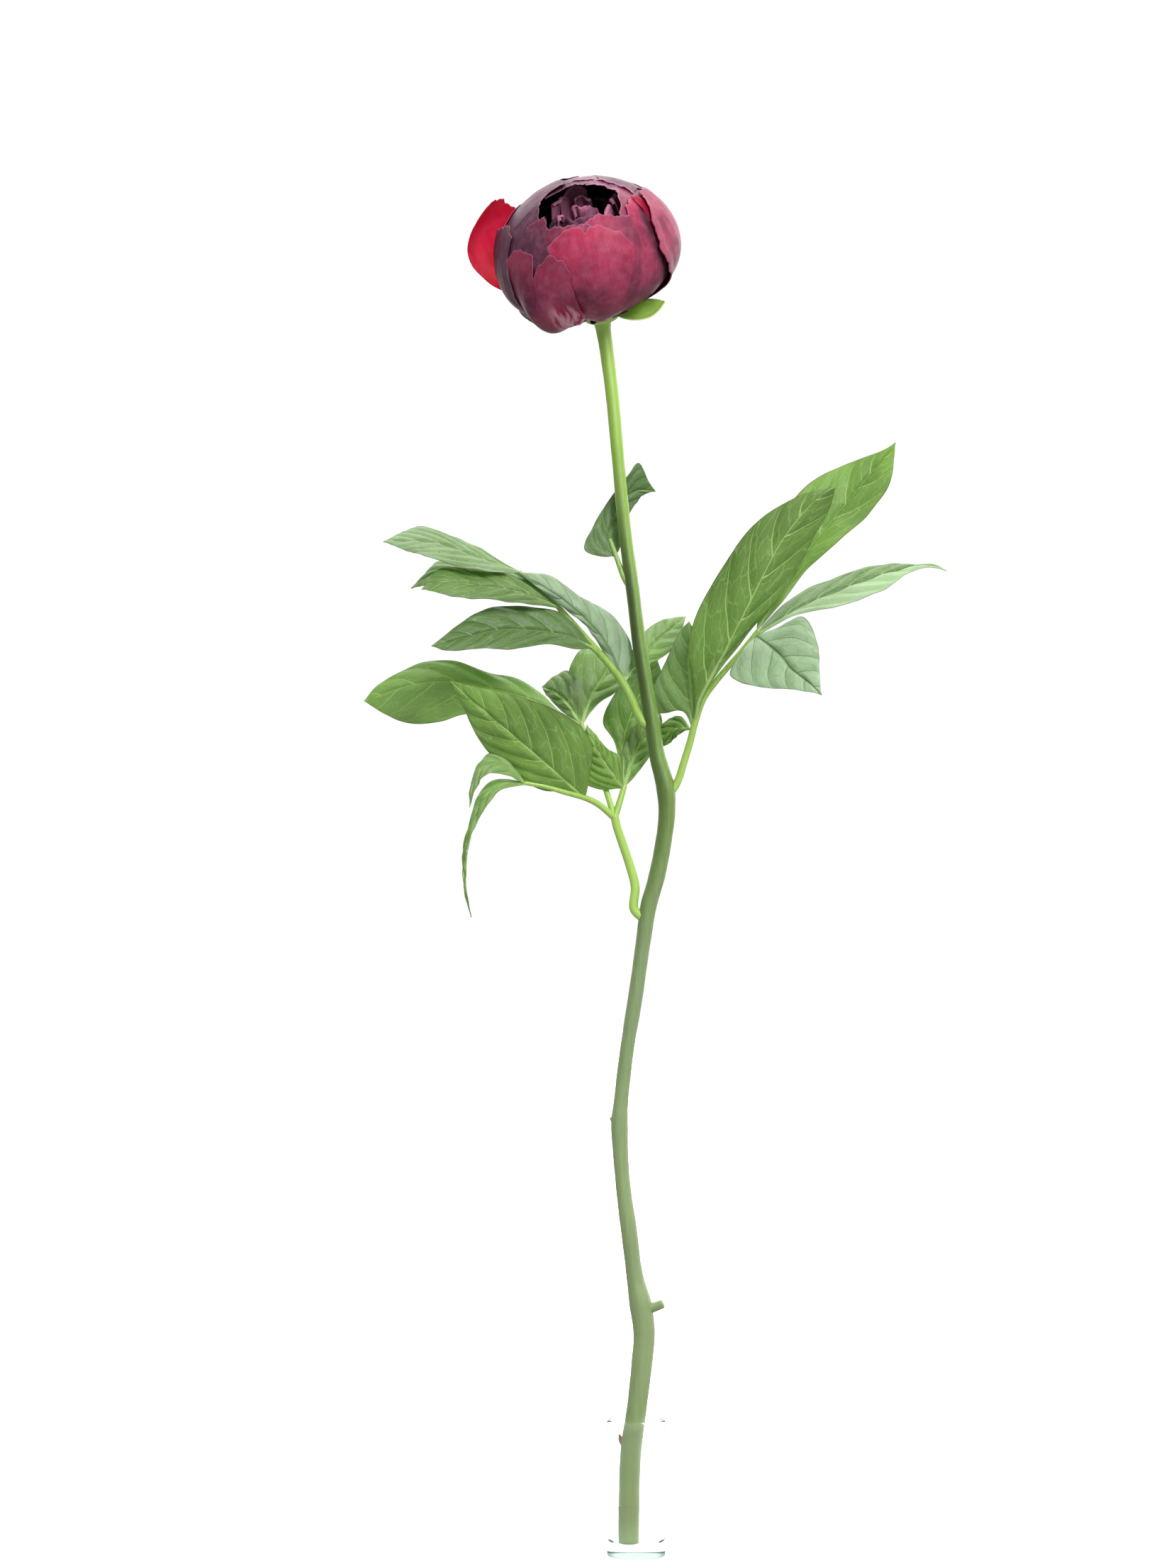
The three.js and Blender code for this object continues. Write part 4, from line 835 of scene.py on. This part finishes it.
def petal_material(name, colors, through, gloss):
    """A dark satin petal with fine streaks, redder at the rim, pale where a map says so, with painted shade
    and sheen.
    """
    lit, deep, soft, red, glow = colors.split()
    nodes = Shader(bpy.data.materials.new(name))
    first = nodes.map("first")
    upward = nodes.parts(first)[0]
    red_and_shadow, pale, _ = nodes.parts(nodes.map("second"))
    grey, shut, _ = nodes.parts(nodes.map("third"))
    fine = nodes.noise(nodes.stretched(first, (5.0, 260.0, 1.0)), 1.0, 3.0, 0.65)
    streaks = nodes.fade(fine, 0.35, 0.68)
    here = nodes.place()
    cloud = nodes.fade(nodes.noise(here, 60.0, 3.0), 0.3, 0.7)
    grain = nodes.noise(here, 1400.0, 2.0)
    body = nodes.mix(cloud, lit, deep)
    # Painted shade: the lower part of each petal is darker.
    body = nodes.mix(nodes.fade(upward, 0.2, 0.62, 0.6, 0.0), body, deep)
    body = nodes.mix(grey, body, nodes.mix(cloud, soft, nodes.mix(0.5, soft, deep)))
    body = nodes.mix(red_and_shadow * nodes.fade(cloud, 0.0, 1.0, 1.0, 0.7), body, red)
    # Painted shadow beside another petal's edge, where the red map goes below zero.
    body = nodes.mix(red_and_shadow * -0.9, body, PETAL_TONES["edge_shadow"])
    body = nodes.mix(streaks * 0.2, body, nodes.mix(0.5, body, PETAL_TONES["streak"]))
    body = nodes.mix(nodes.drop(fine, 0.3, 0.5) * 0.25, body, deep)
    mottle = nodes.fade(nodes.noise(here, 260.0, 4.0, 0.6), 0.4, 0.7)
    body = nodes.mix(mottle * 0.22, body, nodes.mix(0.5, body, PETAL_TONES["mottle"]))
    # Pink and white stripes low on the petal: its own stripes, brightened as a painted highlight.
    stripes = nodes.fade(nodes.noise(nodes.stretched(first, (4.0, 16.0, 1.0)), 1.0, 3.0), 0.4, 0.6)
    white = pale * stripes
    body = nodes.mix(pale * 0.9, body, PETAL_TONES["pink"])
    body = nodes.mix(white * 0.8, body, PETAL_TONES["white"])
    # Painted sheen: a thin pale line along the rim.
    body = nodes.mix(nodes.fade(upward, 0.985, 1.0) * 0.35, body, PETAL_TONES["rim"])
    shine = nodes.mix(white, nodes.mix(streaks * 0.4, glow, deep), PETAL_TONES["white_lit"])
    height = fine * 0.8 + grain * 0.3
    normal = nodes.bump(height, 0.22, 0.0002)
    rough = nodes.fade(cloud, 0.0, 1.0, 0.38, 0.48)
    share = nodes.fade(shut, 0.0, 1.0, 1.0, 0.15) * through
    share = share + pale * 0.45
    return thin_shader(nodes, body, shine, share, rough, normal, gloss)


def sepal_material(name):
    """A thick green sepal with faint lengthwise veins and a pale, red-tipped margin."""
    nodes = Shader(bpy.data.materials.new(name))
    first = nodes.map("first")
    upward, across, _ = nodes.parts(first)
    dark = nodes.parts(nodes.map("third"))[0]
    veins = nodes.fade(nodes.noise(nodes.stretched(first, (1.5, 30.0, 1.0)), 1.0, 2.0), 0.35, 0.65)
    cloud = nodes.fade(nodes.noise(nodes.place(), 120.0, 3.0), 0.35, 0.7)
    body = nodes.mix(cloud, SEPAL_TONES["light"], SEPAL_TONES["cloud"])
    body = nodes.mix(veins * 0.4, body, SEPAL_TONES["vein"])
    margin = nodes.fade(abs(across - 0.5), 0.44, 0.49)
    body = nodes.mix(margin * 0.8, body, SEPAL_TONES["margin"])
    body = nodes.mix(dark, body, SEPAL_TONES["dark"])
    body = nodes.mix(nodes.fade(upward, 0.93, 1.0) * 0.6, body, SEPAL_TONES["tip"])
    through = nodes.mix(dark, SEPAL_TONES["through"], SEPAL_TONES["dark_through"])
    normal = nodes.bump(veins, 0.3, 0.0002)
    return thin_shader(nodes, body, through, 0.3, 0.45, normal, 0.4)


def height_color(nodes, share, stops):
    """A colour that changes with height, from [share, colour] stops."""
    node = nodes.add("ShaderNodeValToRGB", Fac=share)
    levels = node.color_ramp.elements
    levels.remove(levels[-1])
    levels[0].position = stops[0][0]
    levels[0].color = rgb(stops[0][1])
    for position, color in stops[1:]:
        levels.new(position).color = rgb(color)
    return nodes.out(node)


def green_solid_material(name, stops, pale, speck, shade):
    """A stem or stalk: green by height, lengthwise streaks, specks, waxy streaks with painted sheen, painted
    shade.
    """
    nodes = Shader(bpy.data.materials.new(name))
    here = nodes.place()
    z = nodes.parts(here)[2]
    green = height_color(nodes, z / TALL, stops)
    lengthwise = nodes.noise(nodes.stretched(here, (1.0, 1.0, 0.04)), 1300.0, 3.0)
    streaks = nodes.fade(lengthwise, 0.35, 0.65)
    cloud = nodes.noise(nodes.stretched(here, (1.0, 1.0, 0.3)), 60.0, 3.0)
    body = nodes.mix(streaks * 0.18, green, pale)
    cloudy = nodes.mix(0.6, green, STEM_TONES["cloud"])
    body = nodes.mix(nodes.fade(cloud, 0.4, 0.75, 0.0, 0.3), body, cloudy)
    dots = nodes.cells(nodes.stretched(here, (1.0, 1.0, 0.6)), 210.0)
    dark = nodes.drop(dots, 0.05, 0.13) * nodes.fade(nodes.noise(here, 45.0, 1.0), 0.55, 0.62)
    body = nodes.mix(dark * speck, body, STEM_TONES["speck"])
    # Whitish lengthwise streaks, strongest low on the stem: waxy bloom with painted sheen.
    wax_sheen_streaks = nodes.fade(nodes.noise(nodes.stretched(here, (1.0, 1.0, 0.1)), 560.0, 4.0, 0.7), 0.68, 0.76)
    low_down = nodes.fade(z, 0.2, 0.33, 1.0, 0.25)
    body = nodes.mix(wax_sheen_streaks * (low_down * 0.6), body, STEM_TONES["wax_sheen_streaks"])
    around, back, _ = nodes.parts(nodes.map("first"))
    tint = nodes.parts(nodes.map("second"))[0]
    # Painted shade: a dark band down the front left of the upper stem.
    facing_front_left = around * -0.45 + back * -0.89
    upper = nodes.fade(z, 0.24, 0.39) * nodes.fade(z, 0.4, 0.48, 1.0, 0.1)
    painted_shade_band = nodes.fade(facing_front_left, 0.66, 0.95) * upper
    body = nodes.mix(painted_shade_band * shade, body, STEM_TONES["painted_shade_band"])
    body = nodes.mix(tint, body, STEM_TONES["tint"])
    normal = nodes.bump(lengthwise + wax_sheen_streaks * 0.5, 0.35, 0.00025)
    surface = nodes.add("ShaderNodeBsdfPrincipled", Base_Color=body, Roughness=0.42, Normal=normal,
                        Sheen_Weight=0.06, Sheen_Tint=(0.85, 1.0, 0.7, 1.0), Subsurface_Weight=0.1,
                        Subsurface_Radius=(0.0012, 0.002, 0.0006), Subsurface_Scale=1.0)
    return nodes.finish(nodes.out(surface))


def glass_material(name, ior, base_glow=0.0, absorbed=None):
    """Clear, with a slight ripple. The third argument is a faint painted glow at the base, absorbed a colour
    and its density.
    """
    nodes = Shader(bpy.data.materials.new(name))
    here = nodes.place()
    ripple = nodes.noise(nodes.stretched(here, (1.0, 1.0, 0.4)), 45.0)
    surface = nodes.add("ShaderNodeBsdfPrincipled", Base_Color="ffffff", Roughness=0.0, IOR=ior,
                        Normal=nodes.bump(ripple, 0.12, 0.0006), Transmission_Weight=1.0)
    # Painted glow: the foot of the tube shines faintly green.
    if base_glow:
        z = nodes.parts(here)[2]
        nodes.set(surface, "Emission Color", nodes.mix(nodes.fade(z, *GLOW_END), GLOW_COLOR, "000000"))
        nodes.set(surface, "Emission Strength", base_glow)
    if absorbed:
        color, density = absorbed
        inside = nodes.add("ShaderNodeVolumeAbsorption", Color=color, Density=density)
        nodes.set(nodes.output, "Volume", nodes.out(inside))
    return nodes.finish(nodes.out(surface))


def floor_material():
    """White to the camera, and a little darker in the light that it throws up."""
    nodes = Shader(bpy.data.materials.new("pale_floor"))
    tone = nodes.mix(nodes.noise(nodes.place(), 3.0), "fbfbfb", "ffffff")
    shown = nodes.add("ShaderNodeBsdfPrincipled", Base_Color=tone, Roughness=0.8, Specular_IOR_Level=0.0,
                      Emission_Color="ffffff", Emission_Strength=FLOOR_GLOW)
    dim = nodes.add("ShaderNodeBsdfDiffuse", Color=FLOOR_DIM)
    return nodes.finish(nodes.blend(nodes.most(*nodes.sight()), dim, shown))


# Leaves

def blade(outline, rows, across):
    """A blade's rib, its points in the layout's front view, and how wide it is at each of them."""
    rib = curve(outline["rib"], rows)
    ends = [outline["rib"][0][:2], outline["rib"][-1][:2]]
    low, high = (curve([ends[0], *outline[side], ends[1]], rows) for side in ("low", "high"))
    edge = np.where((across > 0)[..., None], high[:, None, :], low[:, None, :])
    out = edge - rib[:, None, :2]
    return rib, rib[:, None, :2] + out * np.abs(across)[..., None], np.linalg.norm(out, axis=-1)


def open_ends(grid, across, base, tip):
    """Gives the two ends of a blade a little width."""
    for end, near, size in ((0, 1, base), (-1, -2, tip)):
        direction = grid[near, -1] - grid[near, 0]
        grid[end] += across.T * direction / np.linalg.norm(direction) * size


def leaflet_grid(leaflet, order):
    """The blade's points, and its maps: vein number and share across, and millimetres along and across."""
    rows, columns = LEAF["rows"], LEAF["columns"]
    up, side = shares(rows, columns)
    across = np.sign(2 * side - 1) * np.abs(2 * side - 1) ** 0.9
    share = np.abs(across)
    high = across > 0
    rib, flat, width = blade(leaflet, rows, across)
    turn = np.where(high, leaflet["turn"][1], leaflet["turn"][0])
    along = np.r_[0, np.cumsum(np.linalg.norm(np.diff(place(rib), axis=0), axis=1))][:, None]
    ripple = LEAF["wave"] * np.sin(2 * math.pi * LEAF["waves"] * up + order + 2 * high)
    ripple = ripple * np.sin(math.pi * up)
    back = share * turn * width + share ** 2 * ripple
    grid = place(np.concatenate([flat, (rib[:, 2:3] + back)[..., None]], -1))
    open_ends(grid, across, LEAF["base"], LEAF["tip"])
    reach = np.linalg.norm(grid - grid[:, columns // 2:columns // 2 + 1], axis=-1)
    half = np.maximum(reach[:, :1], reach[:, -1:])
    bend = LEAF["vein_bend"] * reach + LEAF["vein_hook"] * share ** 3 * half
    phase = (along - bend) / (along[-1, 0] / leaflet.get("veins", LEAF["veins"]))
    facing = normals(grid)
    toward = -1.0 if facing[..., 1].mean() > 0 else 1.0
    quilt = quilted(phase + 0.5 * high, share, up, reach)
    flutter = LEAF["flutter"] * frill(up, "leaf", order) * smooth(share, 0.5, 1.0)
    grid = grid + facing * (toward * quilt)[..., None]
    grid = grid + facing * (flutter * np.sin(math.pi * up) ** 0.5)[..., None]
    look = leaflet.get("look", (0.0, 0.0))
    tone, wax_and_sheen = (np.where(high, other, own) for own, other in zip(look, leaflet.get("high_look", look)))
    return grid, stacked(phase, across, along, reach * np.sign(across), tone, wax_and_sheen), toward


def quilted(phase, share, up, reach):
    """Height of the blade between its sunken veins, in millimetres."""
    apart = np.abs((phase + 0.5) % 1.0 - 0.5) * 2
    swell = np.sqrt(np.clip(apart, 0, 1)) * smooth(share, 0.0, 0.12)
    fade = np.sin(math.pi * np.clip(up, 0, 1)) ** 0.6 * (1 - 0.75 * share ** 3)
    groove = np.exp(-(reach / LEAF["groove_width"]) ** 2)
    return LEAF["quilt"] * swell * fade - LEAF["groove"] * groove * np.sin(math.pi * up) ** 0.4


def leaf(name, data, materials):
    form = Form()
    for order, leaflet in enumerate(data["leaflets"]):
        grid, maps, toward = leaflet_grid(leaflet, order)
        thin = LEAF["thickness"] * (1 - LEAF["margin"] * smooth(np.abs(maps[..., 1]), 0.8, 1.0))
        rib = LEAF["rib"] * np.exp(-(maps[..., 3] / LEAF["rib_width"]) ** 2)
        thin += rib * np.linspace(1, LEAF["rib_end"], len(grid))[:, None]
        add_sheet(form, grid, thin, maps, (0, 1) if toward > 0 else (1, 0))
    for number, path in enumerate(data["stalks"]):
        join = data["join"] if number == 0 else []
        points = place(curve([*join, *path["path"]], STALK_STEPS * (len(join) + len(path["path"]))))
        start, end = path["radii"]
        radii = start + (end - start) * np.linspace(0, 1, len(points))
        add_rod(form, points, radii, STALK_SIDES, slot=2, ribs=0.02)
    form.piece(name + "_fine", materials, "leaf_green", name)


# Bloom

def bloom_axes():
    left, front = math.radians(BLOOM["lean_left"]), math.radians(BLOOM["lean_front"])
    up = np.array([-math.sin(left), -math.sin(front) * math.cos(left), math.cos(front) * math.cos(left)])
    up /= np.linalg.norm(up)
    right = np.array([1.0, 0, 0])
    right -= right.dot(up) * up
    right /= np.linalg.norm(right)
    return right, np.cross(right, up), up


def in_bloom(height, distance, turn):
    """Points from their height above the root, distance from the axis and angle round it in radians."""
    right, front, up = bloom_axes()
    height, distance, turn = (np.asarray(value, float)[..., None] for value in (height, distance, turn))
    return (np.array(BLOOM["centre"]) + (height - BLOOM["below"]) * up
            + distance * (np.cos(turn) * right + np.sin(turn) * front))


def turned_in_bloom(form, profile, slot=0):
    """A turned form on the bloom's axis."""
    right, front, up = bloom_axes()
    add_lathe(form, profile, TURNED_SIDES, (in_bloom(0, 0, 0), (right, -front, up)), slot)


def petal_grid(petal, root, rows, seed, ruffle=1.0):
    """The points of a petal on the bloom's ball, with its share across and share up."""
    span = max(abs(end - start) for start, end in zip(petal["start"], petal["end"]))
    up, across = shares(rows, int(np.clip(span * 1.1, 28, 100)))
    top = ramp(petal["rim"], across) + ruffle * frill(across, "rim", seed)
    peak = max(petal["rim"])
    for position, depth, width in petal.get("slits", []):
        top = top - depth * np.exp(-((across - position) / width) ** 2)
    level = (top - root) / (peak - root) * up
    rise = np.radians(root + (peak - root) * level)
    wander = ruffle * PETAL["wander"] * np.sin(math.pi * up) * frill(up, "edge", seed)
    tatter = petal.get("ragged", 0.0) * PETAL["tatter"] * frill(up, "tatter", seed)
    turn = (1 - across) * (ramp(petal["start"], level) + wander)
    turn = turn + across * (ramp(petal["end"], level) - wander + tatter)
    size = ramp(petal["swell"], level)
    edge = np.abs(2 * across - 1)
    lift = PETAL["edge_lift"] * edge ** 8 * smooth(up, 0.2, 0.6) + PETAL["rim_lift"] * smooth(up, 0.9, 1.0)
    lift = lift + petal.get("lift", 0.0) * smooth(across, 0.85, 1.0) * smooth(level, 0.1, 0.4)
    bulge = petal.get("bulge", PETAL["bulge"]) * np.sin(math.pi * across)
    bulge = bulge * np.sin(math.pi * np.clip(level, 0, 1)) ** 0.8
    keel = np.exp(-((across - 0.5) / 0.2) ** 2) - 0.6
    bulge = bulge + petal.get("keel", 0.0) * keel * smooth(level, 0.0, 0.3) * (1 - smooth(level, 0.45, 0.95))
    crease = PETAL["crease"] * frill(across, "crease", seed) * smooth(up, 0.15, 0.9)
    size = size * (1 + bulge + lift + ruffle * crease)
    half = np.where(rise < math.pi / 2, BLOOM["below"], BLOOM["above"])
    height = BLOOM["below"] - size * half * np.cos(rise)
    grid = in_bloom(height, size * BLOOM["radius"] * np.sin(rise), np.radians(turn))
    return grid, across, up


def hood_grid(hood, seed):
    """The points of a petal that comes over the top, with its share across and share up."""
    up, across = shares(*HOOD_GRID)
    rim = ramp(hood["rim"], across) + frill(across, "hood_rim", seed)
    ahead = np.radians(HOOD_ROOT + (rim - HOOD_ROOT) * up)
    wander = 1.2 * frill(up, "hood_edge", seed) * up
    start, end = ramp(hood["start"], up) + wander, ramp(hood["end"], up) - wander
    side = np.radians((1 - across) * start + across * end)
    crease = 0.004 * frill(across, "hood_crease", seed) * smooth(up, 0.5, 1.0)
    size = ramp(hood["swell"], up) * (1 + crease)
    height = BLOOM["below"] + size * BLOOM["above"] * np.cos(side) * np.cos(ahead)
    over, aside = np.cos(side) * np.sin(ahead), np.sin(side)
    grid = in_bloom(height, size * BLOOM["radius"] * np.hypot(over, aside), np.arctan2(over, aside))
    return grid, across, up


def crumpled_grid(turn, reach, high, width, seed):
    """An inner petal's points, with its share across and share up."""
    up, across = shares(*INNER_GRID)
    side = 2 * across - 1
    top = high - min(3.0, 0.45 * width) * side ** 2 + frill(across, "inner_rim", seed)
    shaft = np.clip(up / ROLL_START, 0, 1)
    roll = math.pi * np.clip((up - ROLL_START) / (1 - ROLL_START), 0, 1)
    near = min(INNER_SEAT, 0.6 * reach)
    distance = near + (reach - near) * np.sin(math.pi / 2 * shaft)
    distance = distance + (0.2 * reach + 0.8) * np.sin(math.pi * shaft)
    waves = frill(across, "inner_wave", seed)
    distance = distance - ROLL_SIZE * (1 - np.cos(roll)) + 0.9 * waves * smooth(up, 0.6, 1.0)
    distance = distance + side ** 2 * up
    height = INNER_SEAT + (top - INNER_SEAT) * shaft + ROLL_SIZE * np.sin(roll)
    half = width * (0.3 + 0.7 * np.sin(math.pi * (0.1 + 0.6 * up)))
    angle = np.radians(turn) + side * half / np.maximum(distance, 5.5)
    return in_bloom(height, distance, angle), across, up


def petal_thickness(up, thinner=0.5):
    return PETAL_THICKNESS * (1 - thinner * smooth(up, 0.85, 1.0))


def seeded(name, items):
    """Each item with its seed."""
    first, step = SEEDS[name]
    return ((item, first + step * order) for order, item in enumerate(items))


def petal_maps(petal, across, up):
    """Share up and across, redness that goes below zero in painted shadow, paleness, greyness and how shut
    the petal is to light.
    """
    grey = petal.get("grey", 0.0)
    red_and_shadow = petal.get("red", 0.3) * smooth(up, *PETAL["red_from"]) * (1 - grey)
    if "shadow" in petal:
        turn = (1 - across) * ramp(petal["start"], up) + across * ramp(petal["end"], up)
        beside = np.maximum(turn - ramp(petal["shadow"], up), 0)
        red_and_shadow = red_and_shadow * (1 - np.exp(-(beside / SHADOW["dull"]) ** 2))
        red_and_shadow = red_and_shadow - np.exp(-(beside / SHADOW["dark"]) ** 2)
    pale = petal.get("pale", 0.0) * (1 - smooth(up, *PETAL["pale_up"]))
    pale = pale * (1 - smooth(across, *PETAL["pale_across"]))
    return stacked(up, across, red_and_shadow, pale, grey, petal.get("shut", 0.0))


def bloom(materials):
    form = Form()
    outer, inner, lit = range(len(materials))
    for petal, seed in seeded("petals", PETALS):
        grid, across, up = petal_grid(petal, PETAL_ROOT, PETAL_ROWS, seed)
        slot = lit if petal.get("lit") else outer
        add_sheet(form, grid, petal_thickness(up), petal_maps(petal, across, up), (slot, slot))
    for hood, seed in seeded("hoods", HOODS):
        grid, across, up = hood_grid(hood, seed)
        maps = stacked(up, 0.5 * across, 0, 0, hood["grey"] + 0.25 * smooth(up, 0.93, 1.0), 1)
        add_sheet(form, grid, petal_thickness(up), maps, (inner, inner))
    for (*petal, pale), seed in seeded("inner", INNER_PETALS):
        grid, across, up = crumpled_grid(*petal, seed)
        maps = stacked(up, 0.12 * across, 0, 0, pale * (0.75 + 0.6 * smooth(up, 0.84, 0.95)), 0)
        add_sheet(form, grid, petal_thickness(up, 0.4), maps, (inner, inner))
    turned_in_bloom(form, RECEPTACLE, inner)
    form.piece("bloom_fine", materials, "petal_burgundy", "bloom")


def spoon_grid():
    """The spoon-shaped sepal's points, with its share across and share up."""
    up, side = shares(*SPOON_GRID)
    across = 2 * side - 1
    share = np.abs(across)
    rib, flat, width = blade(SPOON, SPOON_GRID[0], across)
    back = share * width * np.where(across > 0, SPOON["turn"][1], SPOON["turn"][0])
    dip = SPOON["dip"] * (1 - share ** 2) * np.sin(math.pi * up) ** 0.7
    flat[..., 1] -= 0.6 * dip
    grid = place(np.concatenate([flat, (rib[:, 2:3] + back + 0.5 * dip)[..., None]], -1))
    open_ends(grid, across, SPOON["ends"], SPOON["ends"])
    return grid, side, up


def calyx(material):
    form = Form()
    grid, across, up = spoon_grid()
    add_sheet(form, grid, SEPAL_THICKNESS, stacked(up, across, 0, 0, 0, 0), (0, 0))
    for sepal, seed in seeded("sepals", SEPALS):
        grid, across, up = petal_grid(sepal, SEPAL_ROOT, SEPAL_ROWS, seed, SEPAL_RUFFLE)
        maps = stacked(up, across, 0, 0, sepal.get("dark", SEPAL_DARK), 0)
        add_sheet(form, grid, SEPAL_THICKNESS, maps, (0, 0))
    cup = CALYX_CUP
    rounding = cup["rounding"]
    profile = [
        [0, cup["low"]],
        *arc([cup["radius"] - rounding, cup["low"] + rounding], rounding, -90, 0),
        [cup["radius"], cup["high"]],
        [0, cup["high"]],
    ]
    turned_in_bloom(form, profile)
    form.piece("calyx_fine", [material], "sepal_green", "calyx")


# Stem, vase and water

def stem(material):
    form = Form()
    line = curve(STEM, STEM_STEPS)
    uneven = 1 + STEM_RIPPLE * frill(np.linspace(0, 1, len(line)), "stem")
    add_rod(form, place(line[:, :3]), line[:, 3] * uneven, STEM_SIDES, ribs=STEM_RIPPLE)
    for growth in STEM_GROWTHS:
        path = place(curve(growth["path"], GROWTH_STEPS))
        radii = ramp(growth["radii"], np.linspace(0, 1, len(path)))
        add_rod(form, path, radii, GROWTH_SIDES, tint=growth.get("tint", 0.0))
    form.piece("stem_fine", [material], "stem_green", "stem")


def vase(material):
    radius, height, wall = VASE["radius"], VASE["height"], VASE["wall"]
    floor, edge, corner = VASE["floor"], VASE["edge"], VASE["corner"]
    inner = radius - wall
    form = Form()
    add_lathe(form, [
        [0, 0],
        *arc([radius - edge, edge], edge, -90, 0),
        *arc([radius - wall / 2, height - wall / 2], wall / 2, 0, 180, 16),
        *arc([inner - corner, floor + corner], corner, 0, -90),
        [0, floor],
    ], VASE_SIDES)
    form.piece("vase_glass", [material], "glass", "vase")


def water(material):
    inner = VASE["radius"] - VASE["wall"] + WATER_OVERLAP
    floor, corner = VASE["floor"] - WATER_OVERLAP, VASE["corner"]
    form = Form()
    add_lathe(form, [
        [0, floor],
        *arc([inner - corner, floor + corner], corner, -90, 0),
        *arc([inner - MENISCUS, WATER_TOP + MENISCUS], MENISCUS, 0, -90),
        [0, WATER_TOP],
    ], VASE_SIDES)
    form.piece("water_fine", [material], "water", "water")


# Stage

def sky():
    """White behind the object, bright from behind and above, and dim from the front and the left."""
    world = bpy.data.worlds.new("studio")
    bpy.context.scene.world = world
    nodes = Shader(world, "ShaderNodeOutputWorld")
    x, y, z = nodes.parts(nodes.place("Generated"))
    behind = nodes.fade(y, -0.5, 0.7, WORLD["front"], WORLD["back"])
    above = nodes.fade(z, 0.0, 0.9, 0.0, WORLD["top"])
    sides = nodes.fade(x, -1.0, -0.35, WORLD["left"], 1.0) * nodes.fade(x, 0.5, 1.0, 1.0, WORLD["right"])
    beside = nodes.fade(abs(x), 0.25, 0.6, WORLD["seen"], WORLD["beside"])
    camera_ray, through = nodes.sight()
    strength = (behind + above) * sides * (1.0 - through)
    strength = strength + beside * through
    light = nodes.add("ShaderNodeBackground", Color="ffffff", Strength=strength)
    seen = nodes.add("ShaderNodeBackground", Color="ffffff", Strength=WORLD["seen"])
    nodes.finish(nodes.blend(camera_ray, light, seen))


def lamp(name, at, aim, size, power):
    light = bpy.data.lights.new(name, "AREA")
    light.shape = "RECTANGLE"
    light.size, light.size_y = size
    light.energy = power
    lamp_object = bpy.data.objects.new(name, light)
    bpy.context.scene.collection.objects.link(lamp_object)
    lamp_object.location = at
    lamp_object.rotation_euler = (Vector(aim) - Vector(at)).to_track_quat("-Z", "Y").to_euler()
    lamp_object.visible_camera = False


def stage():
    form = bpy.data.meshes.new("floor")
    corners = [(x * FLOOR_HALF, y * FLOOR_HALF, FLOOR) for x, y in ((-1, -1), (1, -1), (1, 1), (-1, 1))]
    form.from_pydata(corners, [], [(0, 1, 2, 3)])
    floor = bpy.data.objects.new("floor", form)
    form.materials.append(floor_material())
    bpy.context.scene.collection.objects.link(floor)
    sky()
    for name, values in LAMPS.items():
        lamp(name, **values)
    bpy.context.scene.view_settings.view_transform = "Standard"


def camera():
    lens = bpy.data.cameras.new("camera")
    lens.sensor_fit = "VERTICAL"
    lens.sensor_height = SENSOR
    lens.lens = SENSOR * EYE["distance"] / VIEW_HEIGHT
    lens.clip_start = 0.05
    viewer = bpy.data.objects.new("camera", lens)
    viewer.location = (EYE["across"] * MM, -EYE["distance"] * MM, EYE["up"] * MM)
    viewer.rotation_euler = (math.pi / 2, 0, 0)
    bpy.context.scene.collection.objects.link(viewer)
    bpy.context.scene.camera = viewer


def build():
    camera()
    stage()
    blades = [leaf_material(name, **look) for name, look in LEAF_LOOKS.items()]
    stalk = green_solid_material("stalk_green", **STALK)
    for name, data in LEAVES.items():
        leaf(name, data, [*blades, stalk])
    bloom([petal_material(name, **look) for name, look in PETAL_LOOKS.items()])
    calyx(sepal_material("sepal_green"))
    stem(green_solid_material("stem_green", **STEM_LOOK))
    vase(glass_material("clear_glass", **GLASS))
    water(glass_material("clear_water", WATER_IOR))


build()
